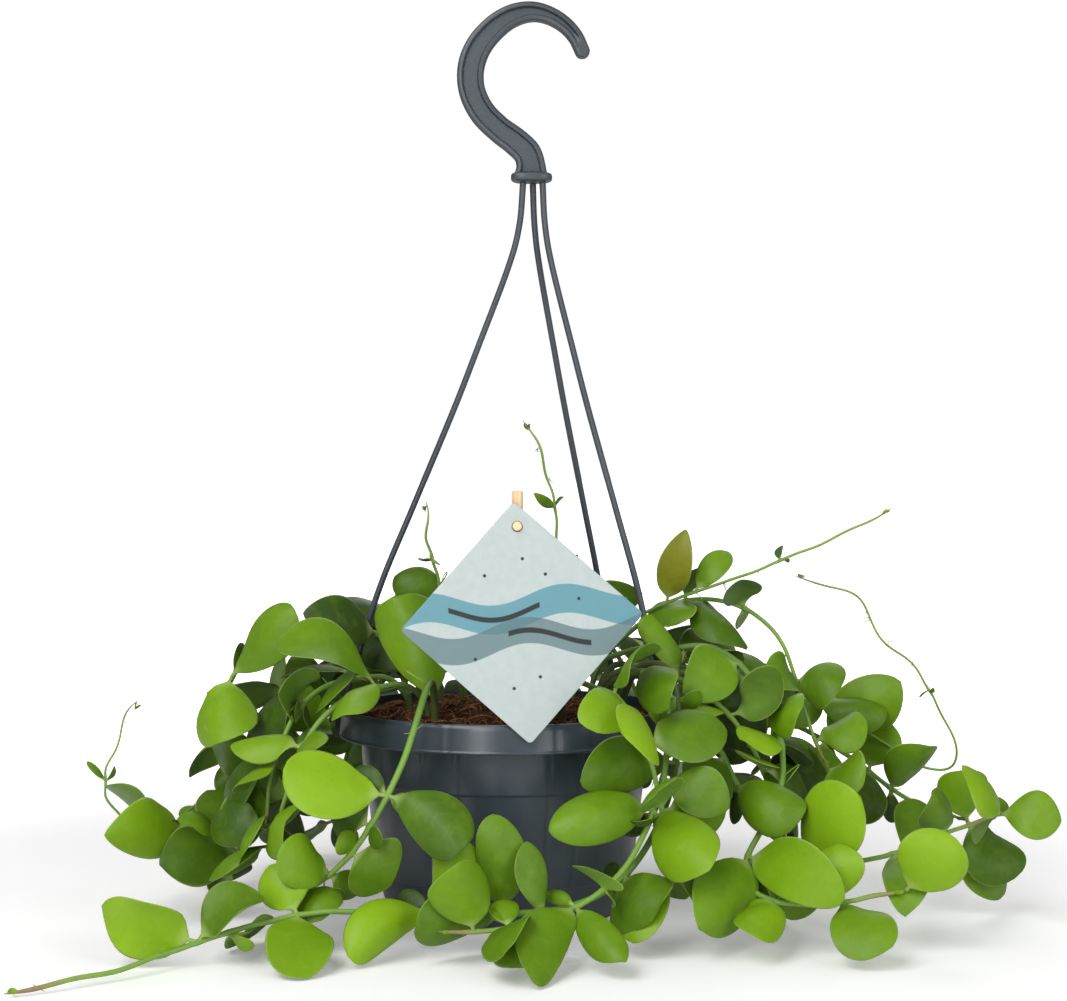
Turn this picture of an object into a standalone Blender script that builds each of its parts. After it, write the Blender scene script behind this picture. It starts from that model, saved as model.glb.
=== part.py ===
"""A dischidia, a trailing house plant, in its 15 cm hanging pot, standing on a surface.

Metres, +Z up. The origin is the middle of the pot's flat base, +X is right and -Y faces the viewer.
Sizes below are in millimetres and are scaled to metres where a mesh is made.
"""

import math
import random
from dataclasses import dataclass, field

import bmesh
import bpy
import numpy as np
from mathutils import Matrix, Vector
from mathutils.bvhtree import BVHTree

MM = 0.001
GAP = 0.3

POT_HEIGHT = 92.0
POT_SEGMENTS = 36
COLLAR_RADIUS = 75.0
COLLAR_TOP_RADIUS = 73.4
COLLAR_BOTTOM = 79.5
COLLAR_INNER_RADIUS = 72.0
WALL = 1.4
WALL_TOP_RADIUS = 65.0
WALL_STEP_HEIGHT = 60.0
WALL_STEP_RADIUS = 63.6
LINE_HEIGHT = 19.0
LINE_RADIUS = 57.8
FOOT_HEIGHT = 7.0
FOOT_RADIUS = 55.0
BASE_RADIUS = 50.0
FLOOR_THICKNESS = 2.2

SOIL_SEGMENTS = 24
SOIL_RADIUS = 71.3
SOIL_EDGE_HEIGHT = 86.0
SOIL_RISE = 7.0
SOIL_LUMP = 0.9
HOLE_BOTTOM = 78.0
HOLE_CLEARANCE = 0.4
STEM_ROOT = 80.0
STEM_CLEARS_SOIL = 97.5

HOOK_DEPTH = 6.5
HOOK_WEB_DEPTH = 2.6
HOOK_BORDER = 1.7
FLANGE = (16.5, 12.0, 4.6)
FLANGE_CENTRE = (12.0, 1.0, 331.0)
HOOK_LINE = [
    (11.8, 331.5), (11.6, 337.0), (9.8, 342.4), (4.4, 347.6), (-2.8, 353.0), (-9.9, 360.1), (-14.3, 368.4),
    (-15.6, 376.5), (-14.4, 384.4), (-10.5, 392.2), (-3.5, 399.6), (4.0, 404.1), (12.0, 405.7), (19.5, 404.2),
    (26.5, 400.2), (31.7, 394.6), (35.0, 387.8),
]
HOOK_WIDTHS = [
    12.6, 12.6, 12.6, 12.4, 11.9, 11.9, 12.0, 12.1, 12.0, 11.6, 10.9, 9.9, 8.8, 7.9, 7.3, 6.9, 6.7,
]

ARM_RADIUS = 1.4
ARM_SIDES = 6
ARM_STEP = 14.0
ARM_END_RADIUS = 74.2
ARM_END_HEIGHT = 94.3
ARM_CURVE = [(0, 0), (0.08, 0.02), (0.16, 0.08), (0.32, 0.255), (0.44, 0.39), (0.63, 0.62), (0.79, 0.81), (1, 1)]
ARMS = {
    "arm_left": (172, (8.2, -0.5)),
    "arm_right": (340, (17.0, -0.5)),
    "arm_back": (46, (12.6, 4.2)),
}
CLIP_WIDTH = 8.0
CLIP_PROFILE = [
    (72.4, 79.1), (72.4, 76.9), (78.0, 76.9), (78.0, 93.4), (76.6, 95.0), (70.4, 95.0),
    (69.3, 93.9), (69.3, 88.6), (71.4, 88.6), (71.4, 92.5), (75.5, 92.5), (75.5, 79.1),
]

CARD_SIDE = 72.5
CARD_THICKNESS = 0.8
CARD_CORNER = 3.0
CARD_CENTRE = (8.0, -68.5, 135.0)
CARD_LEAN = 9.4
CARD_TURN = 49.0
CARD_HOLE_RADIUS = 2.4
CARD_HOLE_UP = 40.5
STICK_RADIUS = 2.5
STICK_PLACE = (6.0, -56.0)
STICK_BOTTOM = 62.0
STICK_TOP = 190.0
STICK_HOLE_BOTTOM = 61.5
PEG_RADIUS = 2.0
PEG_LENGTH = 7.5

STEM_SIDES = 3
STATION_SPACING = 14.0
CURVE_STEP = 4.0
STEM_SPARE = 1.2
FLOOR_CLEARANCE = 0.4
LEAF_HALF_THICKNESS = 0.85
PETIOLE_RADIUS = 0.75
PETIOLE_SHARE = 0.10
BLADE_OUTLINE = [(0.0, 0.16), (0.22, 0.78), (0.50, 1.0), (0.80, 0.72)]
LEAF_ARCH = 0.10
LEAF_CUP = 0.10
LEAF_MARGIN = 0.45
LEAF_TRIES = 60
PETIOLE_TO_STEM = 0.62

ARM_SPARE = 0.4
CLIP_GUARD = 4.4
CLIP_GUARD_RADII = (70, 74, 78)
CLIP_GUARD_HEIGHTS = (78, 83, 88, 93)
STICK_GUARD = 3.0


@dataclass
class Vine:
    """One leafy stem: its radius, the hand-chosen points of its route, and its leaves.

    A leaf is (share of the stem's length, tip, width, tilt), where tilt turns the blade's upper face from
    facing the viewer, 0, to facing up, 90.
    """

    name: str
    radius: float
    route: list
    leaves: list = field(default_factory=list)


VINES = [
    Vine(
        "left_arch",
        1.5,
        [
            (-30, 8, 98), (-41, 10, 114), (-55, 10, 124), (-71, 5, 127), (-84, 0, 127), (-97, -5, 125),
            (-109, -8, 121), (-119, -10, 115), (-124, -12, 107), (-126, -14, 94), (-129, -16, 78),
        ],
        [
            (0.776, (-92, -30, 138), 24, 35),
            (0.785, (-126, -35, 79), 33, 0),
            (0.91, (-129, 15, 58), 26, 40),
            (0.384, (-90, -15, 135), 24, 40),
            (0.295, (-81, 25, 140), 20, 60),
            (0.214, (-70, 30, 136), 24, 50),
        ],
    ),
    Vine(
        "left_low",
        1.5,
        [
            (-44, 12, 97), (-56, 26, 105), (-70, 26, 105), (-80, 22, 97), (-86, 16, 86), (-91, 8, 72),
            (-97, 2, 53), (-105, -8, 39), (-116, -16, 29), (-130, -25, 26), (-142, -32, 24),
        ],
        [
            (0.376, (-99, 5, 112), 22, 45),
            (0.472, (-87, -16, 105), 27, 10),
            (0.489, (-126, -12, 59), 27, 35),
            (0.598, (-109, -20, 68), 20, 40),
            (0.658, (-112, 18, 82), 20, 70),
            (0.813, (-110, -28, 60), 24, 10),
            (0.813, (-149, -45, 28), 28, 20),
            (0.643, (-103, 20, 23), 22, 40),
            (0.91, (-147, -12, 39), 24, 30),
        ],
    ),
    Vine(
        "left_far",
        1.4,
        [
            (-38, 40, 90), (-56, 52, 100), (-75, 58, 101), (-89, 56, 88), (-96, 48, 68), (-102, 38, 43),
            (-113, 20, 31), (-127, 0, 32), (-140, -15, 37), (-152, -30, 41),
        ],
        [
            (1.0, (-185, -38, 50), 28, 45),
            (0.948, (-176, -60, 37), 28, 25),
            (0.801, (-137, 10, 52), 22, 30),
            (0.644, (-128, 40, 45), 24, 30),
            (0.474, (-114, 60, 59), 24, 20),
        ],
    ),
    Vine(
        "front_stem",
        1.7,
        [
            (-30, -38, 103), (-31, -50, 112), (-32, -66, 107), (-35, -80, 98), (-38, -84, 85),
            (-44, -86, 70), (-52, -88, 56), (-60, -86, 42), (-72, -80, 29), (-85, -75, 21), (-97, -72, 19),
        ],
        [
            (0.122, (-47, -62, 144), 36, 20),
            (0.611, (-89, -98, 77), 30, 25),
            (0.593, (-14, -104, 47), 26, 10),
            (0.703, (-70, -76, 62), 30, 0),
            (0.728, (-46, -84, 27), 30, 10),
            (0.846, (-92, -96, 41), 24, 30),
            (0.922, (-65, -92, 23), 24, 35),
        ],
    ),
    Vine(
        "long_trail",
        1.6,
        [
            (52, -24, 101), (63, -42, 119), (70, -46, 122), (74, -48, 113), (75, -50, 100), (75, -54, 81),
            (72, -60, 63), (65, -68, 47), (57, -78, 36), (45, -88, 25), (24, -92, 18), (-1, -92, 17),
            (-25, -92, 17), (-54, -92, 18), (-82, -95, 18), (-102, -102, 14), (-125, -112, 9),
            (-135, -122, 6), (-154, -142, 4), (-174, -156, 3), (-186, -164, 2),
        ],
        [
            (0.152, (68, -66, 92), 22, 30),
            (0.239, (32, -88, 71), 24, 20),
            (0.374, (62, -105, 18), 34, 0),
            (0.511, (-4, -98, 59), 22, 55),
            (0.511, (-21, -128, -2), 28, 25),
            (0.564, (-19, -100, 50), 26, 25),
            (0.564, (-61, -120, 6), 24, 30),
            (0.698, (-86, -135, -6), 28, 30),
            (0.698, (-94, -90, 38), 24, 45),
            (0.798, (-163, -112, 17), 31, 0),
            (0.798, (-102, -95, 29), 28, 10),
            (0.755, (-90, -80, 25), 24, 20),
        ],
    ),
    Vine(
        "second_trail",
        1.6,
        [
            (44, -37, 101), (61, -52, 116), (67, -58, 118), (70, -62, 108), (70, -66, 89), (68, -74, 69),
            (61, -82, 52), (54, -92, 40), (42, -104, 28), (30, -108, 22), (17, -112, 18), (0, -116, 15),
            (-25, -118, 15),
        ],
        [
            (0.18, (69, -78, 94), 24, 20),
            (0.471, (19, -98, 52), 26, 15),
            (0.441, (94, -84, 59), 22, 40),
            (0.501, (99, -98, 31), 33, 5),
            (0.708, (47, -100, 41), 32, 0),
            (0.738, (12, -150, -2), 24, 30),
            (0.771, (43, -140, 4), 18, 30),
            (0.796, (10, -104, 49), 14, 50),
            (0.89, (9, -140, 6), 24, 20),
            (0.89, (-14, -148, 0), 26, 30),
            (0.967, (-18, -112, 45), 31, 5),
        ],
    ),
    Vine(
        "right_thin_up",
        0.9,
        [
            (25, 20, 97), (39, 22, 113), (55, 16, 129), (69, 10, 136), (84, 5, 143), (104, 0, 149),
            (126, -5, 159), (150, -10, 169), (173, -15, 182),
        ],
        [
            (0.442, (82, 0, 172), 17, 0),
            (0.299, (48, -5, 140), 16, 30),
            (0.482, (103, 12, 161), 14, 40),
            (0.71, (132, -5, 167), 5, 30),
        ],
    ),
    Vine(
        "right_hoop",
        1.3,
        [
            (32, 30, 95), (46, 34, 112), (60, 30, 125), (74, 22, 137), (90, 16, 141), (103, 12, 139),
            (115, 8, 135), (123, 4, 127), (128, 0, 118), (131, -4, 108), (133, -8, 95), (137, -14, 80),
            (144, -22, 66),
        ],
        [
            (0.541, (96, 0, 155), 20, 40),
            (0.396, (74, 0, 130), 26, 20),
            (0.451, (104, -12, 123), 26, 25),
            (0.755, (149, -22, 102), 26, 25),
            (0.795, (116, -28, 105), 22, 35),
            (0.907, (161, -20, 87), 26, 40),
            (0.985, (155, -40, 60), 26, 30),
        ],
    ),
    Vine(
        "right_main",
        1.7,
        [
            (51, -10, 98), (60, -16, 112), (75, -18, 120), (87, -20, 124), (96, -22, 121), (105, -26, 114),
            (111, -30, 105), (119, -36, 93), (121, -42, 80), (122, -48, 66), (117, -54, 55),
            (108, -62, 43), (100, -70, 35), (99, -80, 24), (116, -90, 19), (144, -92, 22), (166, -90, 26),
        ],
        [
            (0.147, (59, -34, 103), 22, 40),
            (0.316, (77, -48, 103), 26, 20),
            (0.316, (101, -22, 68), 32, 0),
            (0.432, (126, -60, 96), 24, 25),
            (0.492, (110, -62, 92), 24, 20),
            (0.681, (139, -104, 26), 26, 20),
            (0.711, (79, -112, 15), 30, 15),
            (0.803, (101, -118, 13), 24, 25),
            (0.913, (136, -96, 46), 24, 30),
            (0.913, (151, -124, 8), 26, 20),
            (0.987, (185, -98, 49), 31, 5),
        ],
    ),
    Vine(
        "right_back",
        1.6,
        [
            (43, 39, 92), (66, 52, 104), (83, 56, 104), (100, 56, 93), (116, 52, 83), (135, 46, 79),
            (153, 38, 70), (169, 26, 59), (183, 12, 47), (197, 0, 44), (208, -8, 41),
        ],
        [
            (0.416, (112, 40, 101), 24, 20),
            (0.514, (149, 36, 95), 26, 30),
            (0.619, (183, 20, 101), 29, 20),
            (0.619, (140, 10, 48), 28, 15),
            (0.73, (185, 22, 79), 26, 30),
            (0.73, (154, 0, 41), 26, 10),
            (0.841, (191, -10, 75), 22, 10),
            (0.922, (176, -30, 30), 28, 15),
            (1.0, (204, -16, 65), 24, 40),
            (1.0, (226, -24, 18), 30, 20),
            (0.98, (213, -20, 0), 28, 10),
        ],
    ),
    Vine(
        "right_far",
        1.5,
        [
            (38, -28, 98), (54, -30, 108), (68, -32, 108), (81, -36, 98), (91, -40, 84), (99, -46, 67),
            (106, -54, 50), (120, -62, 38), (138, -66, 31), (160, -62, 34), (181, -52, 39), (198, -44, 45),
            (215, -40, 49),
        ],
        [
            (0.292, (79, -60, 101), 26, 20),
            (0.377, (83, -64, 59), 26, 25),
            (0.464, (124, -76, 52), 28, 10),
            (0.636, (148, -84, 66), 34, 5),
            (0.636, (122, -92, 21), 28, 15),
            (0.791, (165, -94, 16), 24, 25),
            (0.895, (183, -60, 63), 20, 30),
            (0.992, (240, -50, 48), 22, 25),
            (0.992, (196, -56, 70), 24, 35),
        ],
    ),
    Vine(
        "right_tendril",
        0.8,
        [
            (52, 26, 93), (82, 38, 103), (105, 36, 102), (133, 30, 95), (160, 24, 82), (184, 18, 67),
            (199, 12, 55), (209, 8, 61), (206, 4, 75), (197, 0, 93), (185, -2, 109), (171, -4, 123),
            (161, -6, 137), (155, -8, 147), (147, -10, 150), (141, -8, 146), (136, -6, 150),
            (130, -4, 152),
        ],
        [
            (0.723, (189, 2, 94), 5, 30),
            (0.374, (175, 30, 68), 22, 20),
            (0.277, (124, 32, 78), 24, 20),
        ],
    ),
    Vine(
        "left_tendril",
        0.8,
        [
            (-46, 34, 91), (-71, 66, 92), (-88, 66, 77), (-103, 52, 55), (-118, 34, 41), (-134, 16, 38),
            (-144, -6, 33), (-152, -24, 31), (-164, -34, 38), (-172, -40, 50), (-174, -44, 67),
            (-170, -46, 82), (-162, -48, 93), (-155, -50, 100),
        ],
        [
            (0.87, (-178, -48, 75), 4, 30),
            (0.432, (-131, 30, 44), 20, 30),
            (0.519, (-149, 12, 44), 22, 20),
        ],
    ),
    Vine(
        "left_curl",
        0.8,
        [
            (-30, 52, 87), (-77, 76, 86), (-96, 70, 72), (-109, 56, 57), (-127, 36, 48), (-141, 20, 46),
            (-152, 8, 41), (-149, -4, 35), (-142, -10, 34), (-134, -14, 35),
        ],
        [
            (0.506, (-121, 62, 68), 22, 20),
            (0.648, (-137, 40, 56), 18, 30),
        ],
    ),
    Vine(
        "back_sprig",
        0.9,
        [
            (22, 28, 94), (25, 30, 119), (26, 30, 152), (24, 28, 166), (23, 26, 185), (20, 24, 199),
            (14, 22, 212), (9, 20, 222),
        ],
        [
            (0.745, (14, 20, 194), 5, 20),
            (0.531, (18, 32, 173), 8, 30),
            (0.334, (39, 20, 145), 18, 20),
        ],
    ),
    Vine(
        "left_sprig",
        1.0,
        [(-20, 15, 96), (-25, 14, 120), (-32, 10, 148), (-34, 8, 164), (-37, 6, 176), (-38, 6, 186)],
        [
            (0.741, (-39, 6, 169), 5, 30),
            (0.396, (-14, 0, 158), 20, 35),
            (0.476, (-51, 12, 150), 22, 30),
            (0.224, (-38, -12, 132), 30, 10),
        ],
    ),
]


@dataclass
class Spray:
    """A leafy stem that falls over the rim by rule: its azimuth, reach, crest and lowest height."""

    name: str
    azimuth: float
    reach: float
    crest: float
    end: float
    sway: float
    pairs: int
    radius: float = 1.5


SPRAYS = [
    Spray("back_a", 28, 128, 116, 34, 14, 4),
    Spray("back_b", 62, 118, 122, 52, -10, 4),
    Spray("back_c", 80, 142, 112, 22, 10, 5),
    Spray("back_d", 98, 120, 124, 58, -8, 4),
    Spray("back_e", 116, 146, 114, 20, 12, 5),
    Spray("back_f", 134, 122, 120, 48, -12, 4),
    Spray("back_g", 152, 134, 112, 30, 10, 4),
    Spray("side_left", 196, 112, 108, 44, 8, 4),
    Spray("side_right", 8, 122, 112, 46, -8, 4),
    Spray("front_right", 304, 108, 108, 30, 6, 4),
    Spray("right_low", 338, 126, 108, 26, 8, 4),
    Spray("left_front", 220, 112, 106, 38, -10, 3),
]


def unit(v):
    """A vector, or each row of an array, at length one."""
    v = np.asarray(v, float)
    return v / np.maximum(np.linalg.norm(v, axis=-1, keepdims=True), 1e-9)


def material(name, colour, roughness, metallic=0.0):
    """A Principled material with one colour."""
    made = bpy.data.materials.new(name)
    made.use_nodes = True
    shader = made.node_tree.nodes["Principled BSDF"]
    shader.inputs["Base Color"].default_value = (*colour, 1.0)
    shader.inputs["Roughness"].default_value = roughness
    shader.inputs["Metallic"].default_value = metallic
    made.diffuse_color = (*colour, 1.0)
    return made


def mesh_object(name, points, faces, finish=None, smooth=False):
    """An object whose mesh is these points, in millimetres, and faces."""
    mesh = bpy.data.meshes.new(name)
    mesh.from_pydata((np.asarray(points, float) * MM).tolist(), [], [list(map(int, f)) for f in faces])
    mesh.validate()
    if smooth:
        mesh.shade_smooth()
        mesh.set_sharp_from_angle(angle=math.radians(35))
    if finish:
        mesh.materials.append(finish)
    made = bpy.data.objects.new(name, mesh)
    bpy.context.scene.collection.objects.link(made)
    return made


def triangulated(rings, sides):
    """Side faces between closed rings of points, as triangles with the same diagonal all round."""
    faces = []
    for ring in range(rings - 1):
        for side in range(sides):
            a = ring * sides + side
            b = ring * sides + (side + 1) % sides
            faces += [(a, b, b + sides), (a, b + sides, a + sides)]
    return faces


def turned(profile, segments):
    """A closed solid of revolution round Z from (radius, height) points, poles as single points."""
    points, rings = [], []
    for radius, height in profile:
        first = len(points)
        if radius == 0:
            points.append((0, 0, height))
            rings.append([first] * segments)
            continue
        for k in range(segments):
            turn = 2 * math.pi * k / segments
            points.append((radius * math.cos(turn), radius * math.sin(turn), height))
        rings.append(list(range(first, first + segments)))
    faces = []
    for low, high in zip(rings, rings[1:]):
        for k in range(segments):
            corners = [low[k], low[(k + 1) % segments], high[(k + 1) % segments], high[k]]
            corners = list(dict.fromkeys(corners))
            if len(corners) > 2:
                faces.append(corners)
    return np.array(points), faces


def smooth_curve(points, step):
    """A Catmull-Rom curve through the points, read at even steps of about this length."""
    p = np.asarray(points, float)
    p = np.vstack([2 * p[0] - p[1], p, 2 * p[-1] - p[-2]])
    t = np.linspace(0, 1, 24, endpoint=False)[:, None]
    runs = []
    for a, b, c, d in zip(p, p[1:], p[2:], p[3:]):
        runs.append(
            0.5 * (2 * b + (c - a) * t + (2 * a - 5 * b + 4 * c - d) * t**2 + (3 * b - a - 3 * c + d) * t**3)
        )
    return evenly(np.vstack(runs + [p[-2:-1]]), step)


def lengths(points):
    """The distance along a polyline to each of its points."""
    return np.concatenate([[0], np.cumsum(np.linalg.norm(np.diff(points, axis=0), axis=1))])


def evenly(points, step):
    """A polyline read again at even steps of about this length."""
    along = lengths(points)
    count = max(3, round(along[-1] / step) + 1)
    wanted = np.linspace(0, along[-1], count)
    return np.stack([np.interp(wanted, along, points[:, k]) for k in range(3)], axis=1)


def frames_along(points):
    """Two unit vectors square to the line at each point, carried along it without twist."""
    tangents = unit(np.gradient(points, axis=0))
    side = unit(np.cross(tangents[0], (0.31, 0.95, 0.05)))
    sides = []
    for tangent in tangents:
        side = unit(side - tangent * np.dot(side, tangent))
        sides.append(side)
    sides = np.array(sides)
    return sides, np.cross(tangents, sides)


def tube(points, radii, sides):
    """A closed tube round a polyline: its points and triangles, facing out."""
    across, up = frames_along(points)
    turns = 2 * math.pi * np.arange(sides) / sides
    ring = np.cos(turns)[None, :, None] * across[:, None] + np.sin(turns)[None, :, None] * up[:, None]
    body = (points[:, None] + ring * np.asarray(radii, float)[:, None, None]).reshape(-1, 3)
    faces = triangulated(len(points), sides)
    last = (len(points) - 1) * sides
    faces += [(0, k + 1, k) for k in range(1, sides - 1)]
    faces += [(last, last + k, last + k + 1) for k in range(1, sides - 1)]
    return body, faces


def soil_height(x, y):
    """The soil's top: a low dome with a few soft lumps."""
    dome = SOIL_RISE * np.clip(1 - (x**2 + y**2) / SOIL_RADIUS**2, 0, 1)
    lumps = np.sin(x / 9.0 + 1.3) * np.sin(y / 8.0 + 0.4) + 0.6 * np.sin(x / 5.1 - y / 6.3)
    return SOIL_EDGE_HEIGHT + dome + SOIL_LUMP * lumps


def stem_radii(vine, count):
    """A stem's radius at each station, thinner towards its tip."""
    return vine.radius * np.linspace(1.0, 0.6, count)


def pushed_out_of_pot(points, radius):
    """Points moved clear of the pot and its soil, past the ones that stand in the soil."""
    out = points.copy()
    reach = np.hypot(out[:, 0], out[:, 1])
    limit_height = POT_HEIGHT + radius + STEM_SPARE
    over = (reach < COLLAR_RADIUS + radius + STEM_SPARE) & (out[:, 2] < limit_height)
    beside = over & (reach > COLLAR_RADIUS - 4) & (out[:, 2] < limit_height - 2.5)
    scale = (COLLAR_RADIUS + radius + STEM_SPARE) / np.maximum(reach, 1)
    out[beside, :2] *= scale[beside, None]
    raised = over & ~beside & (reach > WALL_TOP_RADIUS)
    out[raised, 2] = limit_height
    inner = (reach <= WALL_TOP_RADIUS) & (out[:, 2] < STEM_CLEARS_SOIL)
    out[inner, 2] = STEM_CLEARS_SOIL
    out[:, 2] = np.maximum(out[:, 2], radius + FLOOR_CLEARANCE)
    return out


def pushed_from(points, radius, others, other_radii):
    """Points moved away from any nearer than the radii allow of the placed stems and arms."""
    if not len(others):
        return points
    apart = points[:, None] - others[None]
    distance = np.linalg.norm(apart, axis=2)
    short = (radius + other_radii + STEM_SPARE)[None] - distance
    worst = np.argmax(short, axis=1)
    rows = np.arange(len(points))
    depth = short[rows, worst]
    move = unit(apart[rows, worst] + (1e-4, 2e-4, 3e-4)) * np.maximum(depth, 0)[:, None] * 0.6
    return points + move


def settled(vine, placed, placed_radii):
    """A stem's fine line, straight up out of the soil and then eased clear of everything placed so far."""
    x, y, _ = vine.route[0]
    rise = [(x, y, STEM_ROOT), (x, y, STEM_ROOT + 9), (x, y, STEM_CLEARS_SOIL)]
    line = smooth_curve(rise + [p for p in vine.route[1:]], CURVE_STEP)
    held = line[:, 2] < STEM_CLEARS_SOIL
    held[np.argmin(held) :] = False
    first = max(int(held.sum()), 2)
    line[:first, :2] = (x, y)
    home = line.copy()
    for _ in range(60):
        free = line[first:]
        free = pushed_from(free, vine.radius, placed, placed_radii)
        free = pushed_out_of_pot(free, vine.radius)
        inner = free[1:-1]
        free[1:-1] = inner + 0.25 * (0.5 * (free[:-2] + free[2:]) - inner)
        free = free + 0.02 * (home[first:] - free)
        line[first:] = free
    return straightened(line, vine, placed, placed_radii)


def straightened(line, vine, placed, placed_radii):
    """The stem's stations, with the straight runs between them eased clear too."""
    stations = evenly(line, STATION_SPACING)
    upright = np.hypot(stations[:, 0] - line[0, 0], stations[:, 1] - line[0, 1]) < 0.6
    first = max(int(np.argmin(upright)), 2)
    stations[:first, :2] = line[0, :2]
    parts = 4
    share = np.arange((len(stations) - 1) * parts + 1) / parts
    weights = np.maximum(0, 1 - np.abs(share[:, None] - np.arange(len(stations))[None]))
    for _ in range(60):
        fine = weights @ stations
        moved = pushed_from(fine, vine.radius, placed, placed_radii)
        moved = pushed_out_of_pot(moved, vine.radius)
        shift = (weights.T @ (moved - fine)) / weights.sum(axis=0)[:, None]
        stations[first:] += 1.7 * shift[first:]
    return stations


def spray_vine(spray):
    """A falling stem and its pairs of leaves, worked out from the spray's few numbers."""
    draw = random.Random(spray.name)

    def at(reach, height, share):
        turn = math.radians(spray.azimuth + spray.sway * share)
        return np.array((reach * math.cos(turn), reach * math.sin(turn), height))

    route = [at(44, STEM_CLEARS_SOIL, 0), at(54, spray.crest - 4, 0.1), at(68, spray.crest, 0.2)]
    for step in range(1, 7):
        bend = math.radians(15 * step)
        reach = 74 + (spray.reach - 74) * math.sin(bend)
        route.append(at(reach, spray.end + (spray.crest - spray.end) * math.cos(bend), 0.2 + 0.13 * step))
    leaves = []
    for pair in range(spray.pairs):
        share = 0.36 + 0.62 * pair / max(spray.pairs - 1, 1)
        foot = smooth_curve(route, 2)
        foot = foot[int(share * (len(foot) - 1))]
        outward = unit((foot[0], foot[1], 0))
        sideways = np.cross((0, 0, 1), outward)
        for hand in (-1, 1):
            along = (
                sideways * hand * draw.uniform(0.7, 1.0)
                + outward * draw.uniform(0.1, 0.8)
                + np.array((0, 0, draw.uniform(-0.6, 0.45)))
            )
            tip = foot + unit(along) * draw.uniform(30, 40)
            tip[2] = max(tip[2], 4)
            leaves.append((share, tuple(tip), draw.uniform(22, 31), draw.uniform(20, 60), outward))
    return Vine(spray.name, spray.radius, [tuple(p) for p in route], leaves)


def leaf_points(foot, tip, width, facing, grow=0.0, petiole=PETIOLE_RADIUS):
    """One leaf as closed rings: a petiole from inside the stem, an arched and cupped blade, and its tip.

    Each ring is left edge, upper middle and right edge: a fleshy blade, domed above and level below.
    Grow is an even extra margin all round.
    """
    foot, tip = np.asarray(foot, float), np.asarray(tip, float)
    along = unit(tip - foot)
    length = float(np.linalg.norm(tip - foot))
    normal = unit(facing - along * np.dot(facing, along))
    side = np.cross(along, normal)
    shares = [0.0, PETIOLE_SHARE] + [PETIOLE_SHARE + (1 - PETIOLE_SHARE) * s for s, _ in BLADE_OUTLINE[1:]]
    halves = [petiole, petiole * 1.25] + [0.5 * width * w for _, w in BLADE_OUTLINE[1:]]
    thick = [petiole, petiole] + [LEAF_HALF_THICKNESS] * (len(BLADE_OUTLINE) - 1)
    rings = []
    for share, half, height in zip(shares, halves, thick):
        middle = foot + along * length * share + normal * length * LEAF_ARCH * 4 * share * (1 - share)
        drop = LEAF_CUP * half + 0.5 * PETIOLE_RADIUS + grow
        wide = half + 2 * grow
        rings.append(middle - side * wide - normal * drop)
        rings.append(middle + normal * (height + grow))
        rings.append(middle + side * wide - normal * drop)
    rings.append(tip + along * grow)
    return np.array(rings)


def leaf_faces():
    """The triangles of a leaf's rings, from its root to its tip."""
    rings = 1 + len(BLADE_OUTLINE)
    faces = [(0, 1, 2)]
    for ring in range(rings - 1):
        left, top, right = (3 * ring + k for k in range(3))
        faces += [(left, left + 3, top + 3), (left, top + 3, top)]
        faces += [(right, top + 3, right + 3), (right, top, top + 3)]
        faces += [(left, right, right + 3), (left, right + 3, left + 3)]
    last = 3 * (rings - 1)
    end = last + 3
    faces += [(last, end, last + 1), (last + 1, end, last + 2), (last + 2, end, last)]
    return faces


LEAF_FACES = leaf_faces()
BLADE_FACES = [face for face in LEAF_FACES if min(face) >= 3]


def leaf_tries(name, index, foot, leaf):
    """The leaf as measured, then ever freer seeded turns of it, for where the measured one would touch."""
    tip, width, tilt = np.asarray(leaf[1], float), leaf[2], math.radians(leaf[3])
    outward = np.asarray(leaf[4] if len(leaf) > 4 else (0.0, -1.0, 0.0), float)
    draw = random.Random(f"{name} {index}")
    for attempt in range(LEAF_TRIES):
        free = attempt / LEAF_TRIES
        reach = tip - foot
        bend = 0.0 if attempt == 0 else 0.25 + 0.9 * free
        reach = reach + np.linalg.norm(reach) * bend * np.array([draw.uniform(-1, 1) for _ in range(3)])
        reach = unit(reach) * np.linalg.norm(tip - foot) * (1 - 0.35 * free * draw.random())
        turn = tilt + (0 if attempt == 0 else (0.5 + 1.2 * free) * draw.uniform(-1, 1))
        lean = 0 if attempt == 0 else (0.3 + 0.9 * free) * draw.uniform(-1, 1)
        facing = outward * math.cos(turn) + np.array((0, 0, math.sin(turn)))
        facing = facing + lean * unit(np.cross(reach, facing))
        yield foot + reach, width * (1 - 0.25 * free * draw.random()), unit(facing)


def blocked_by_pot(points):
    """Whether any point is in the pot, in its soil or below the floor."""
    reach = np.hypot(points[:, 0], points[:, 1])
    height = points[:, 2]
    in_soil = (reach < COLLAR_INNER_RADIUS) & (height < STEM_CLEARS_SOIL - 1)
    in_collar = (reach < COLLAR_RADIUS + 0.4) & (height > COLLAR_BOTTOM - 0.5) & (height < POT_HEIGHT + 0.4)
    in_wall = (reach < WALL_TOP_RADIUS + 0.4) & (height <= COLLAR_BOTTOM)
    return bool((in_soil | in_collar | in_wall | (height < FLOOR_CLEARANCE)).any())


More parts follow.
